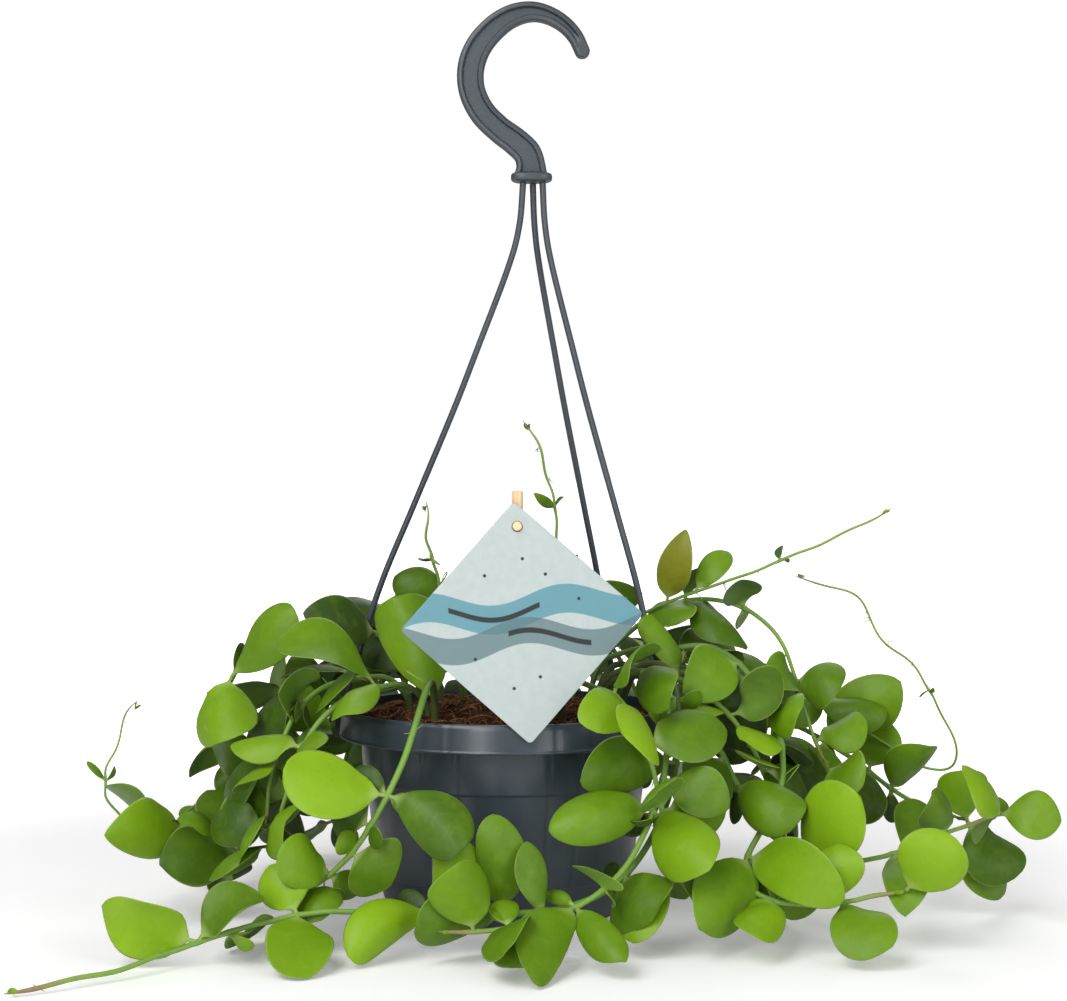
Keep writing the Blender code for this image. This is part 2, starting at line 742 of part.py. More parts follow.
class Space:
    """What is placed so far, as trees of triangles with their boxes."""

    def __init__(self):
        self.held = []

    def add(self, owner, points, faces):
        """Places a solid."""
        tree = BVHTree.FromPolygons([Vector(p) for p in points], faces)
        self.held.append((owner, points.min(axis=0), points.max(axis=0), tree))

    def touches(self, owner, points, faces, own):
        """Whether these faces meet any placed solid, of the same owner or of the others."""
        low, high = points.min(axis=0), points.max(axis=0)
        tree = None
        for other, least, most, held in self.held:
            if (other == owner) != own or (low > most).any() or (high < least).any():
                continue
            tree = tree or BVHTree.FromPolygons([Vector(p) for p in points], faces)
            if tree.overlap(held):
                return True
        return False


def joined(first, others):
    """One Boolean union of an object with a collection of others, applied, with the others removed."""
    helpers = bpy.data.collections.new("joined")
    for other in others:
        helpers.objects.link(other)
    union = first.modifiers.new("union", "BOOLEAN")
    union.operation = "UNION"
    union.operand_type = "COLLECTION"
    union.collection = helpers
    union.solver = "EXACT"
    bpy.context.view_layer.update()
    graph = bpy.context.evaluated_depsgraph_get()
    mesh = bpy.data.meshes.new_from_object(first.evaluated_get(graph))
    first.modifiers.clear()
    first.data = mesh
    for other in list(helpers.objects):
        bpy.data.objects.remove(other)
    bpy.data.collections.remove(helpers)
    return first


def cut(target, cutters):
    """Cuts each cutter out of an object, applied, with the cutters removed."""
    helpers = bpy.data.collections.new("cutters")
    for cutter in cutters:
        cutter.hide_render = True
        cutter.display_type = "WIRE"
        helpers.objects.link(cutter)
    difference = target.modifiers.new("cut", "BOOLEAN")
    difference.operation = "DIFFERENCE"
    difference.operand_type = "COLLECTION"
    difference.collection = helpers
    bpy.context.view_layer.update()
    graph = bpy.context.evaluated_depsgraph_get()
    mesh = bpy.data.meshes.new_from_object(target.evaluated_get(graph))
    target.modifiers.clear()
    target.data = mesh
    for cutter in list(helpers.objects):
        bpy.data.objects.remove(cutter)
    bpy.data.collections.remove(helpers)
    return target


def build_pot(finish):
    """The pot: a collar over a stepped, tapering wall and a rounded foot, hollow, with a flat base."""
    outside = [
        (0, 0), (BASE_RADIUS, 0), (BASE_RADIUS + 3.2, 2.0), (FOOT_RADIUS, FOOT_HEIGHT),
        (LINE_RADIUS, LINE_HEIGHT),
        (WALL_STEP_RADIUS - 0.6, WALL_STEP_HEIGHT), (WALL_STEP_RADIUS + 0.5, WALL_STEP_HEIGHT + 1),
        (WALL_TOP_RADIUS, COLLAR_BOTTOM), (COLLAR_RADIUS, COLLAR_BOTTOM),
        (COLLAR_TOP_RADIUS + 0.6, POT_HEIGHT - 1.6), (COLLAR_TOP_RADIUS - 0.4, POT_HEIGHT),
    ]
    inside = [
        (COLLAR_INNER_RADIUS, POT_HEIGHT), (COLLAR_INNER_RADIUS, COLLAR_BOTTOM + WALL),
        (WALL_TOP_RADIUS - WALL, COLLAR_BOTTOM - 0.5), (LINE_RADIUS - WALL, LINE_HEIGHT),
        (FOOT_RADIUS - WALL, FOOT_HEIGHT), (BASE_RADIUS, FLOOR_THICKNESS), (0, FLOOR_THICKNESS),
    ]
    points, faces = turned(outside + inside, POT_SEGMENTS)
    return mesh_object("pot", points, faces, finish, smooth=True)


def round_cutter(x, y, low, high, radius, sides):
    """An upright cylinder that cuts a plain hole."""
    line = np.array([(x, y, low), (x, y, high)], float)
    points, faces = tube(line, [radius, radius], sides)
    return mesh_object("cutter", points, faces)


def build_soil(finish, stems):
    """The soil: a filled body in the pot with a domed, lumpy top and a plain hole for each stem."""
    inset = GAP + 0.2
    profile = [
        (0, FLOOR_THICKNESS + GAP), (BASE_RADIUS - 1.2, FLOOR_THICKNESS + GAP + 0.4),
        (FOOT_RADIUS - WALL - inset, FOOT_HEIGHT + 1), (LINE_RADIUS - WALL - inset, LINE_HEIGHT),
        (WALL_TOP_RADIUS - WALL - inset, COLLAR_BOTTOM - 0.5),
        (SOIL_RADIUS, COLLAR_BOTTOM + WALL + 0.8), (SOIL_RADIUS, SOIL_EDGE_HEIGHT),
        (SOIL_RADIUS - 3, SOIL_EDGE_HEIGHT + 0.1), (54, 1), (36, 1), (18, 1), (0, 1),
    ]
    points, faces = turned(profile, SOIL_SEGMENTS)
    top = points[:, 2] == 1
    points[top, 2] = soil_height(points[top, 0], points[top, 1])
    soil = mesh_object("soil", points, faces, finish)
    cutters = [
        round_cutter(v.route[0][0], v.route[0][1], HOLE_BOTTOM, 110, v.radius + HOLE_CLEARANCE + 0.2, 5)
        for v in stems
    ]
    cutters.append(round_cutter(*STICK_PLACE, STICK_HOLE_BOTTOM, 110, STICK_RADIUS + HOLE_CLEARANCE, 12))
    return cut(soil, cutters)


def build_hook(finish):
    """The hook: a C of channelled section, rounded at its tip, on a short flange."""
    line = np.array([(x, 0.0, z) for x, z in HOOK_LINE])
    fine = smooth_curve(line, 7.0)
    widths = np.interp(lengths(fine) / lengths(fine)[-1], lengths(line) / lengths(line)[-1], HOOK_WIDTHS)
    tangents = unit(np.gradient(fine, axis=0))
    across = np.stack([tangents[:, 2], np.zeros(len(fine)), -tangents[:, 0]], axis=1)
    rings = []
    for centre, side, width in zip(fine, across, widths):
        half, depth, web = width / 2, HOOK_DEPTH / 2, HOOK_WEB_DEPTH / 2
        inner = half - HOOK_BORDER
        section = [
            (-half, -depth), (-inner, -depth), (-inner, -web), (inner, -web), (inner, -depth), (half, -depth),
            (half, depth), (inner, depth), (inner, web), (-inner, web), (-inner, depth), (-half, depth),
        ]
        rings += [centre + side * a + np.array((0, b, 0)) for a, b in section]
    points = np.array(rings)
    count = len(fine)
    faces = [tuple(reversed(f)) for f in triangulated(count, 12)]
    caps = [(0, 1, 2), (0, 2, 9), (0, 9, 10), (0, 10, 11), (3, 4, 5), (3, 5, 6), (3, 6, 7), (3, 7, 8), (2, 3, 8), (2, 8, 9)]
    last = (count - 1) * 12
    faces += caps
    faces += [tuple(last + k for k in reversed(face)) for face in caps]
    hook = mesh_object("hook", points, faces, finish)
    rounded = round_tip(fine[-1], tangents[-1], widths[-1])
    flange = box_object("flange", FLANGE_CENTRE, FLANGE)
    made = joined(hook, [rounded, flange])
    made.data.materials.clear()
    made.data.materials.append(finish)
    return made


def round_tip(centre, tangent, width):
    """The disc that rounds off the hook's tip, as deep as the hook."""
    turns = 2 * math.pi * np.arange(12) / 12
    spin = np.stack([np.cos(turns), np.zeros(12), np.sin(turns)], axis=1) * (width / 2 + 0.1)
    middle = np.asarray(centre) - np.asarray(tangent) * 0.4
    front, back = middle + spin + (0, -HOOK_DEPTH / 2 + 0.1, 0), middle + spin + (0, HOOK_DEPTH / 2 - 0.1, 0)
    faces = triangulated(2, 12)
    faces += [(0, k + 1, k) for k in range(1, 11)] + [(12, 12 + k, 12 + k + 1) for k in range(1, 11)]
    points = np.vstack([front, back])
    return outward_object("tip", points, faces)


def outward_object(name, points, faces):
    """An object whose faces are turned to point out."""
    corners = np.asarray(points)[np.asarray(faces)]
    volume = np.einsum("ij,ij->i", corners[:, 0], np.cross(corners[:, 1], corners[:, 2])).sum()
    if volume < 0:
        faces = [tuple(reversed(face)) for face in faces]
    return mesh_object(name, points, faces)


def box_object(name, centre, size):
    """A box with chamfered upright edges."""
    half = np.asarray(size) / 2
    cut_off = 1.2
    outline = []
    for sx, sy in ((1, 1), (-1, 1), (-1, -1), (1, -1)):
        near = [(sx * half[0], sy * (half[1] - cut_off)), (sx * (half[0] - cut_off), sy * half[1])]
        outline += near if sx * sy > 0 else near[::-1]
    outline = np.array(outline)
    low = np.column_stack([outline, np.full(8, -half[2])]) + centre
    high = np.column_stack([outline, np.full(8, half[2])]) + centre
    faces = triangulated(2, 8)
    faces += [(0, k + 1, k) for k in range(1, 7)] + [(8, 8 + k, 8 + k + 1) for k in range(1, 7)]
    return outward_object(name, np.vstack([low, high]), faces)


def arm_line(azimuth, start):
    """An arm's line from under the flange, bowed out and down to its clip on the rim."""
    turn = math.radians(azimuth)
    end = np.array((ARM_END_RADIUS * math.cos(turn), ARM_END_RADIUS * math.sin(turn), ARM_END_HEIGHT))
    top = np.array((*start, FLANGE_CENTRE[2] - FLANGE[2] / 2 - GAP))
    points = []
    for drop, out in ARM_CURVE:
        flat = top[:2] + (end[:2] - top[:2]) * out
        points.append((*flat, top[2] + (end[2] - top[2]) * drop))
    return smooth_curve(points, ARM_STEP)


def build_arm(name, azimuth, start, finish):
    """One round arm with the clip that straddles the pot's rim and hooks under its collar."""
    line = arm_line(azimuth, start)
    points, faces = tube(line, np.full(len(line), ARM_RADIUS), ARM_SIDES)
    arm = mesh_object(name, points, faces, finish)
    profile = np.array(CLIP_PROFILE)
    sides = []
    for across in (-CLIP_WIDTH / 2, CLIP_WIDTH / 2):
        sides.append(np.column_stack([profile[:, 0], np.full(len(profile), across), profile[:, 1]]))
    points = np.vstack(sides)
    spin = np.array(Matrix.Rotation(math.radians(azimuth), 3, "Z"))
    points = points @ spin.T
    count = len(profile)
    faces = [(k, (k + 1) % count, (k + 1) % count + count, k + count) for k in range(count)]
    faces += [tuple(range(count))[::-1], tuple(range(count, 2 * count))]
    clip = mesh_object("clip", points, faces)
    fix_normals(clip)
    return joined(arm, [clip])


def fix_normals(made):
    """Turns a closed mesh's faces to point out."""
    work = bmesh.new()
    work.from_mesh(made.data)
    bmesh.ops.recalc_face_normals(work, faces=work.faces)
    work.to_mesh(made.data)
    work.free()


def card_frame():
    """The card's centre and its right, up and front directions."""
    lean = math.radians(CARD_LEAN)
    right = np.array((1.0, 0.0, 0.0))
    up = np.array((0.0, math.sin(lean), math.cos(lean)))
    return np.array(CARD_CENTRE), right, up, np.cross(right, up) * -1


def build_card(finish):
    """The card: a thin square with rounded corners, stood on one corner and leant back, with a hole."""
    centre, right, up, front = card_frame()
    outline = []
    half = CARD_SIDE / 2
    for corner in range(4):
        middle = math.radians(45 + 90 * corner)
        for step in (-45, -15, 15, 45):
            turn = middle + math.radians(step)
            place = np.array((math.cos(middle), math.sin(middle))) * math.sqrt(2) * (half - CARD_CORNER)
            outline.append(place + CARD_CORNER * np.array((math.cos(turn), math.sin(turn))))
    turn = math.radians(CARD_TURN)
    spin = np.array(((math.cos(turn), -math.sin(turn)), (math.sin(turn), math.cos(turn))))
    outline = np.array(outline) @ spin.T
    flat = centre + outline[:, :1] * right + outline[:, 1:] * up
    depth = unit(front) * CARD_THICKNESS / 2
    points = np.vstack([flat - depth, flat + depth])
    count = len(outline)
    faces = [(k, (k + 1) % count, (k + 1) % count + count, k + count) for k in range(count)]
    faces += [tuple(range(count))[::-1], tuple(range(count, 2 * count))]
    card = mesh_object("card", points, faces, finish)
    fix_normals(card)
    hole = peg_line(4, 4)
    points, faces = tube(hole, [CARD_HOLE_RADIUS] * 2, 12)
    return cut(card, [mesh_object("cutter", points, faces)])


def peg_line(near, far):
    """The peg's line, square to the card through its hole, from behind the card to its front."""
    centre, _, up, front = card_frame()
    hole = centre + up * CARD_HOLE_UP
    hole[0] = STICK_PLACE[0]
    towards = front if front[1] < 0 else -front
    return np.array([hole - towards * near, hole + towards * far])


def build_stick(finish):
    """The stick: an upright dowel in the soil with a short peg across, on which the card hangs."""
    x, y = STICK_PLACE
    line = np.array([(x, y, STICK_BOTTOM), (x, y, STICK_TOP - 0.8), (x, y, STICK_TOP)], float)
    points, faces = tube(line, [STICK_RADIUS, STICK_RADIUS, STICK_RADIUS - 0.7], 12)
    stick = mesh_object("stick", points, faces, finish)
    points, faces = tube(peg_line(PEG_LENGTH - 2, 2.2), [PEG_RADIUS, PEG_RADIUS], 10)
    return joined(stick, [mesh_object("peg", points, faces)])


def obstacles():
    """Points and radii of the arms, their clips and the stick, for the stems to pass."""
    arms = np.vstack([evenly(arm_line(*ARMS[name]), CURVE_STEP) for name in ARMS])
    clips = []
    for azimuth, _ in ARMS.values():
        turn = math.radians(azimuth)
        for radius in CLIP_GUARD_RADII:
            for height in CLIP_GUARD_HEIGHTS:
                clips.append((radius * math.cos(turn), radius * math.sin(turn), height))
    stick = [(*STICK_PLACE, height) for height in np.arange(STICK_BOTTOM, STICK_TOP, CURVE_STEP)]
    radii = [ARM_RADIUS + ARM_SPARE] * len(arms) + [CLIP_GUARD] * len(clips) + [STICK_GUARD] * len(stick)
    return np.vstack([arms, clips, stick]), np.array(radii)


def settled_stems(vines, space):
    """Each vine with its stations and its tube, settled in order and placed in the space."""
    placed, radii = obstacles()
    stems = []
    for vine in vines:
        stations = settled(vine, placed, radii)
        line = evenly(stations, CURVE_STEP)
        placed = np.vstack([placed, line])
        radii = np.concatenate([radii, stem_radii(vine, len(line))])
        points, faces = tube(stations, stem_radii(vine, len(stations)), STEM_SIDES)
        space.add(vine.name, points, faces)
        stems.append((vine, stations, points, faces))
    return stems


def clear_blade(vine, index, foot, leaf, space):
    """The leaf's first turn that meets nothing, placed in the space, or None where it has no room."""
    petiole = min(PETIOLE_RADIUS, PETIOLE_TO_STEM * vine.radius)
    for tip, width, facing in leaf_tries(vine.name, index, foot, leaf):
        grown = leaf_points(foot, tip, width, facing, LEAF_MARGIN, petiole)
        if blocked_by_pot(grown[3:]):
            continue
        if space.touches(vine.name, grown, LEAF_FACES, False):
            continue
        if space.touches(vine.name, grown, BLADE_FACES, True):
            continue
        exact = leaf_points(foot, tip, width, facing, 0.0, petiole)
        space.add(vine.name, exact, LEAF_FACES)
        return outward_object("leaf", exact, LEAF_FACES)
    return None


def build_foliage(finishes, placed_objects):
    """Every leafy stem as one node: all stems are settled first, then each leaf takes its first clear turn."""
    space = Space()
    for made in placed_objects:
        points = np.array([v.co[:] for v in made.data.vertices]) / MM
        space.add(made.name, points, [tuple(p.vertices) for p in made.data.polygons])
    stems = settled_stems(VINES + [spray_vine(spray) for spray in SPRAYS], space)
    for vine, stations, points, faces in stems:
        stem = mesh_object(vine.name, points, faces, finishes[tone_of(vine.name)])
        along = lengths(stations) / lengths(stations)[-1]
        blades = []
        for index, leaf in enumerate(vine.leaves):
            foot = stations[np.argmin(np.abs(along - leaf[0]))]
            blades.append(clear_blade(vine, index, foot, leaf, space))
        joined(stem, [blade for blade in blades if blade])
    return [vine for vine, *_ in stems]


def tone_of(name):
    """Which of the two leaf greens a stem takes, by the sum of its name's letters."""
    return sum(map(ord, name)) % 2


def main():
    """Builds the pot, its soil, the hanger, the card on its stick and every leafy stem."""
    for old in list(bpy.data.objects):
        bpy.data.objects.remove(old)
    dark_plastic = material("dark_plastic", (0.045, 0.055, 0.065), 0.42)
    earth = material("earth", (0.06, 0.022, 0.01), 0.95)
    printed_card = material("printed_card", (0.56, 0.63, 0.64), 0.5)
    light_wood = material("light_wood", (0.8, 0.6, 0.36), 0.6)
    leaf_green = material("leaf_green", (0.16, 0.32, 0.03), 0.45)
    leaf_dark = material("leaf_dark", (0.08, 0.2, 0.02), 0.45)

    build_pot(dark_plastic)
    hanger = [build_hook(dark_plastic)]
    hanger += [build_arm(name, *ARMS[name], dark_plastic) for name in ARMS]
    card = build_card(printed_card)
    stick = build_stick(light_wood)
    vines = build_foliage([leaf_green, leaf_dark], hanger + [card, stick])
    build_soil(earth, vines)


if __name__ == "__main__":
    main()
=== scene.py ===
"""The looks of a dischidia in its 15 cm hanging pot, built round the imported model.

Sizes are in millimetres in the model's own frame: the origin is the middle of the pot's base, +Z is up and
-Y faces the viewer. A mesh is scaled to metres once, where it is made. Every leafy stem is worked out again
from the same points and rules as its solid, and each leaf takes the turn whose tip is found in that solid.
"""

import logging
import math
import random
from collections.abc import Iterator
from dataclasses import dataclass, field
from enum import Enum

import bpy
import numpy as np
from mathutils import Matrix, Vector


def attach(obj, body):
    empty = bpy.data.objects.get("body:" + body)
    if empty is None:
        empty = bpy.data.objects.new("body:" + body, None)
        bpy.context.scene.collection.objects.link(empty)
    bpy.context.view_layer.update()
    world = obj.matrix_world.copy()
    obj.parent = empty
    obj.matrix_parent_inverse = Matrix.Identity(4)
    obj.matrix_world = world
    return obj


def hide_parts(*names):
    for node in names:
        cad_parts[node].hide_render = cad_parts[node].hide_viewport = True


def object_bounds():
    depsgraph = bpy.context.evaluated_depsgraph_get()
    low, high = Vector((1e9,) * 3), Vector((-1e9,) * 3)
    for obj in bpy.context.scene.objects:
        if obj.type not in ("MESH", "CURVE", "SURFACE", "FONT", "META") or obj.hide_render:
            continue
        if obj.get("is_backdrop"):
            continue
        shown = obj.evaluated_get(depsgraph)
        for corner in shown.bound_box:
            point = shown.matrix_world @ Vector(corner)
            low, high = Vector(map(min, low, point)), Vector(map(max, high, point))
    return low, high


log = logging.getLogger("dischidia")

MM = 0.001
BODY = "root"

Point = tuple[float, float, float]
Colour = tuple[float, float, float]
Array = np.ndarray
Socket = bpy.types.NodeSocket


class LeafAge(Enum):
    """A leaf's place from the oldest, dark green, over bright green to young olive, by age, painted shade and
    light.
    """

    OLDEST = 0.02
    BRIGHTEST = 0.84
    YOUNG = 1.0


@dataclass
class Vine:
    """One leafy stem.

    A leaf is (share of the stem's length, tip, width, tilt) and, where its stem was made by rule, the way its
    upper face looks before the tilt. Tilt turns the upper face from facing the viewer, 0, to facing up, 90.
    """

    name: str
    radius: float
    route: list[Point]
    leaves: list[tuple] = field(default_factory=list)


@dataclass(frozen=True)
class Spray:
    """A leafy stem that falls over the rim by rule: its azimuth, reach, crest and lowest height."""

    name: str
    azimuth: float
    reach: float
    crest: float
    end: float
    sway: float
    pairs: int
    radius: float = 1.5


VINES: list[Vine] = [
    Vine(
        "left_arch",
        1.5,
        [
            (-30, 8, 98), (-41, 10, 114), (-55, 10, 124), (-71, 5, 127), (-84, 0, 127), (-97, -5, 125),
            (-109, -8, 121), (-119, -10, 115), (-124, -12, 107), (-126, -14, 94), (-129, -16, 78),
        ],
        [
            (0.776, (-92, -30, 138), 24, 35),
            (0.785, (-126, -35, 79), 33, 0),
            (0.91, (-129, 15, 58), 26, 40),
            (0.384, (-90, -15, 135), 24, 40),
            (0.295, (-81, 25, 140), 20, 60),
            (0.214, (-70, 30, 136), 24, 50),
        ],
    ),
    Vine(
        "left_low",
        1.5,
        [
            (-44, 12, 97), (-56, 26, 105), (-70, 26, 105), (-80, 22, 97), (-86, 16, 86), (-91, 8, 72),
            (-97, 2, 53), (-105, -8, 39), (-116, -16, 29), (-130, -25, 26), (-142, -32, 24),
        ],
        [
            (0.376, (-99, 5, 112), 22, 45),
            (0.472, (-87, -16, 105), 27, 10),
            (0.489, (-126, -12, 59), 27, 35),
            (0.598, (-109, -20, 68), 20, 40),
            (0.658, (-112, 18, 82), 20, 70),
            (0.813, (-110, -28, 60), 24, 10),
            (0.813, (-149, -45, 28), 28, 20),
            (0.643, (-103, 20, 23), 22, 40),
            (0.91, (-147, -12, 39), 24, 30),
        ],
    ),
    Vine(
        "left_far",
        1.4,
        [
            (-38, 40, 90), (-56, 52, 100), (-75, 58, 101), (-89, 56, 88), (-96, 48, 68), (-102, 38, 43),
            (-113, 20, 31), (-127, 0, 32), (-140, -15, 37), (-152, -30, 41),
        ],
        [
            (1.0, (-185, -38, 50), 28, 45),
            (0.948, (-176, -60, 37), 28, 25),
            (0.801, (-137, 10, 52), 22, 30),
            (0.644, (-128, 40, 45), 24, 30),
            (0.474, (-114, 60, 59), 24, 20),
        ],
    ),
    Vine(
        "front_stem",
        1.7,
        [
            (-30, -38, 103), (-31, -50, 112), (-32, -66, 107), (-35, -80, 98), (-38, -84, 85),
            (-44, -86, 70), (-52, -88, 56), (-60, -86, 42), (-72, -80, 29), (-85, -75, 21), (-97, -72, 19),
        ],
        [
            (0.122, (-47, -62, 144), 36, 20),
            (0.611, (-89, -98, 77), 30, 25),
            (0.593, (-14, -104, 47), 26, 10),
            (0.703, (-70, -76, 62), 30, 0),
            (0.728, (-46, -84, 27), 30, 10),
            (0.846, (-92, -96, 41), 24, 30),
            (0.922, (-65, -92, 23), 24, 35),
        ],
    ),
    Vine(
        "long_trail",
        1.6,
        [
            (52, -24, 101), (63, -42, 119), (70, -46, 122), (74, -48, 113), (75, -50, 100), (75, -54, 81),
            (72, -60, 63), (65, -68, 47), (57, -78, 36), (45, -88, 25), (24, -92, 18), (-1, -92, 17),
            (-25, -92, 17), (-54, -92, 18), (-82, -95, 18), (-102, -102, 14), (-125, -112, 9),
            (-135, -122, 6), (-154, -142, 4), (-174, -156, 3), (-186, -164, 2),
        ],
        [
            (0.152, (68, -66, 92), 22, 30),
            (0.239, (32, -88, 71), 24, 20),
            (0.374, (62, -105, 18), 34, 0),
            (0.511, (-4, -98, 59), 22, 55),
            (0.511, (-21, -128, -2), 28, 25),
            (0.564, (-19, -100, 50), 26, 25),
            (0.564, (-61, -120, 6), 24, 30),
            (0.698, (-86, -135, -6), 28, 30),
            (0.698, (-94, -90, 38), 24, 45),
            (0.798, (-163, -112, 17), 31, 0),
            (0.798, (-102, -95, 29), 28, 10),
            (0.755, (-90, -80, 25), 24, 20),
        ],
    ),
    Vine(
        "second_trail",
        1.6,
        [
            (44, -37, 101), (61, -52, 116), (67, -58, 118), (70, -62, 108), (70, -66, 89), (68, -74, 69),
            (61, -82, 52), (54, -92, 40), (42, -104, 28), (30, -108, 22), (17, -112, 18), (0, -116, 15),
            (-25, -118, 15),
        ],
        [
            (0.18, (69, -78, 94), 24, 20),
            (0.471, (19, -98, 52), 26, 15),
            (0.441, (94, -84, 59), 22, 40),
            (0.501, (99, -98, 31), 33, 5),
            (0.708, (47, -100, 41), 32, 0),
            (0.738, (12, -150, -2), 24, 30),
            (0.771, (43, -140, 4), 18, 30),
            (0.796, (10, -104, 49), 14, 50),
            (0.89, (9, -140, 6), 24, 20),
            (0.89, (-14, -148, 0), 26, 30),
            (0.967, (-18, -112, 45), 31, 5),
        ],
    ),
    Vine(
        "right_thin_up",
        0.9,
        [
            (25, 20, 97), (39, 22, 113), (55, 16, 129), (69, 10, 136), (84, 5, 143), (104, 0, 149),
            (126, -5, 159), (150, -10, 169), (173, -15, 182),
        ],
        [
            (0.442, (82, 0, 172), 17, 0),
            (0.299, (48, -5, 140), 16, 30),
            (0.482, (103, 12, 161), 14, 40),
            (0.71, (132, -5, 167), 5, 30),
        ],
    ),
    Vine(
        "right_hoop",
        1.3,
        [
            (32, 30, 95), (46, 34, 112), (60, 30, 125), (74, 22, 137), (90, 16, 141), (103, 12, 139),
            (115, 8, 135), (123, 4, 127), (128, 0, 118), (131, -4, 108), (133, -8, 95), (137, -14, 80),
            (144, -22, 66),
        ],
        [
            (0.541, (96, 0, 155), 20, 40),
            (0.396, (74, 0, 130), 26, 20),
            (0.451, (104, -12, 123), 26, 25),
            (0.755, (149, -22, 102), 26, 25),
            (0.795, (116, -28, 105), 22, 35),
            (0.907, (161, -20, 87), 26, 40),
            (0.985, (155, -40, 60), 26, 30),
        ],
    ),
    Vine(
        "right_main",
        1.7,
        [
            (51, -10, 98), (60, -16, 112), (75, -18, 120), (87, -20, 124), (96, -22, 121), (105, -26, 114),
            (111, -30, 105), (119, -36, 93), (121, -42, 80), (122, -48, 66), (117, -54, 55),
            (108, -62, 43), (100, -70, 35), (99, -80, 24), (116, -90, 19), (144, -92, 22), (166, -90, 26),
        ],
        [
            (0.147, (59, -34, 103), 22, 40),
            (0.316, (77, -48, 103), 26, 20),
            (0.316, (101, -22, 68), 32, 0),
            (0.432, (126, -60, 96), 24, 25),
            (0.492, (110, -62, 92), 24, 20),
            (0.681, (139, -104, 26), 26, 20),
            (0.711, (79, -112, 15), 30, 15),
            (0.803, (101, -118, 13), 24, 25),
            (0.913, (136, -96, 46), 24, 30),
            (0.913, (151, -124, 8), 26, 20),
            (0.987, (185, -98, 49), 31, 5),
        ],
    ),
    Vine(
        "right_back",
        1.6,
        [
            (43, 39, 92), (66, 52, 104), (83, 56, 104), (100, 56, 93), (116, 52, 83), (135, 46, 79),
            (153, 38, 70), (169, 26, 59), (183, 12, 47), (197, 0, 44), (208, -8, 41),
        ],
        [
            (0.416, (112, 40, 101), 24, 20),
            (0.514, (149, 36, 95), 26, 30),
            (0.619, (183, 20, 101), 29, 20),
            (0.619, (140, 10, 48), 28, 15),
            (0.73, (185, 22, 79), 26, 30),
            (0.73, (154, 0, 41), 26, 10),
            (0.841, (191, -10, 75), 22, 10),
            (0.922, (176, -30, 30), 28, 15),
            (1.0, (204, -16, 65), 24, 40),
            (1.0, (226, -24, 18), 30, 20),
            (0.98, (213, -20, 0), 28, 10),
        ],
    ),
    Vine(
        "right_far",
        1.5,
        [
            (38, -28, 98), (54, -30, 108), (68, -32, 108), (81, -36, 98), (91, -40, 84), (99, -46, 67),
            (106, -54, 50), (120, -62, 38), (138, -66, 31), (160, -62, 34), (181, -52, 39), (198, -44, 45),
            (215, -40, 49),
        ],
        [
            (0.292, (79, -60, 101), 26, 20),
            (0.377, (83, -64, 59), 26, 25),
            (0.464, (124, -76, 52), 28, 10),
            (0.636, (148, -84, 66), 34, 5),
            (0.636, (122, -92, 21), 28, 15),
            (0.791, (165, -94, 16), 24, 25),
            (0.895, (183, -60, 63), 20, 30),
            (0.992, (240, -50, 48), 22, 25),
            (0.992, (196, -56, 70), 24, 35),
        ],
    ),
    Vine(
        "right_tendril",
        0.8,
        [
            (52, 26, 93), (82, 38, 103), (105, 36, 102), (133, 30, 95), (160, 24, 82), (184, 18, 67),
            (199, 12, 55), (209, 8, 61), (206, 4, 75), (197, 0, 93), (185, -2, 109), (171, -4, 123),
            (161, -6, 137), (155, -8, 147), (147, -10, 150), (141, -8, 146), (136, -6, 150),
            (130, -4, 152),
        ],
        [
            (0.723, (189, 2, 94), 5, 30),
            (0.374, (175, 30, 68), 22, 20),
            (0.277, (124, 32, 78), 24, 20),
        ],
    ),
    Vine(
        "left_tendril",
        0.8,
        [
            (-46, 34, 91), (-71, 66, 92), (-88, 66, 77), (-103, 52, 55), (-118, 34, 41), (-134, 16, 38),
            (-144, -6, 33), (-152, -24, 31), (-164, -34, 38), (-172, -40, 50), (-174, -44, 67),
            (-170, -46, 82), (-162, -48, 93), (-155, -50, 100),
        ],
        [
            (0.87, (-178, -48, 75), 4, 30),
            (0.432, (-131, 30, 44), 20, 30),
            (0.519, (-149, 12, 44), 22, 20),
        ],
    ),
    Vine(
        "left_curl",
        0.8,
        [
            (-30, 52, 87), (-77, 76, 86), (-96, 70, 72), (-109, 56, 57), (-127, 36, 48), (-141, 20, 46),
            (-152, 8, 41), (-149, -4, 35), (-142, -10, 34), (-134, -14, 35),
        ],
        [
            (0.506, (-121, 62, 68), 22, 20),
            (0.648, (-137, 40, 56), 18, 30),
        ],
    ),
    Vine(
        "back_sprig",
        0.9,
        [
            (22, 28, 94), (25, 30, 119), (26, 30, 152), (24, 28, 166), (23, 26, 185), (20, 24, 199),
            (14, 22, 212), (9, 20, 222),
        ],
        [
            (0.745, (14, 20, 194), 5, 20),
            (0.531, (18, 32, 173), 8, 30),
            (0.334, (39, 20, 145), 18, 20),
        ],
    ),
    Vine(
        "left_sprig",
        1.0,
        [(-20, 15, 96), (-25, 14, 120), (-32, 10, 148), (-34, 8, 164), (-37, 6, 176), (-38, 6, 186)],
        [
            (0.741, (-39, 6, 169), 5, 30),
            (0.396, (-14, 0, 158), 20, 35),
            (0.476, (-51, 12, 150), 22, 30),
            (0.224, (-38, -12, 132), 30, 10),
        ],
    ),
]

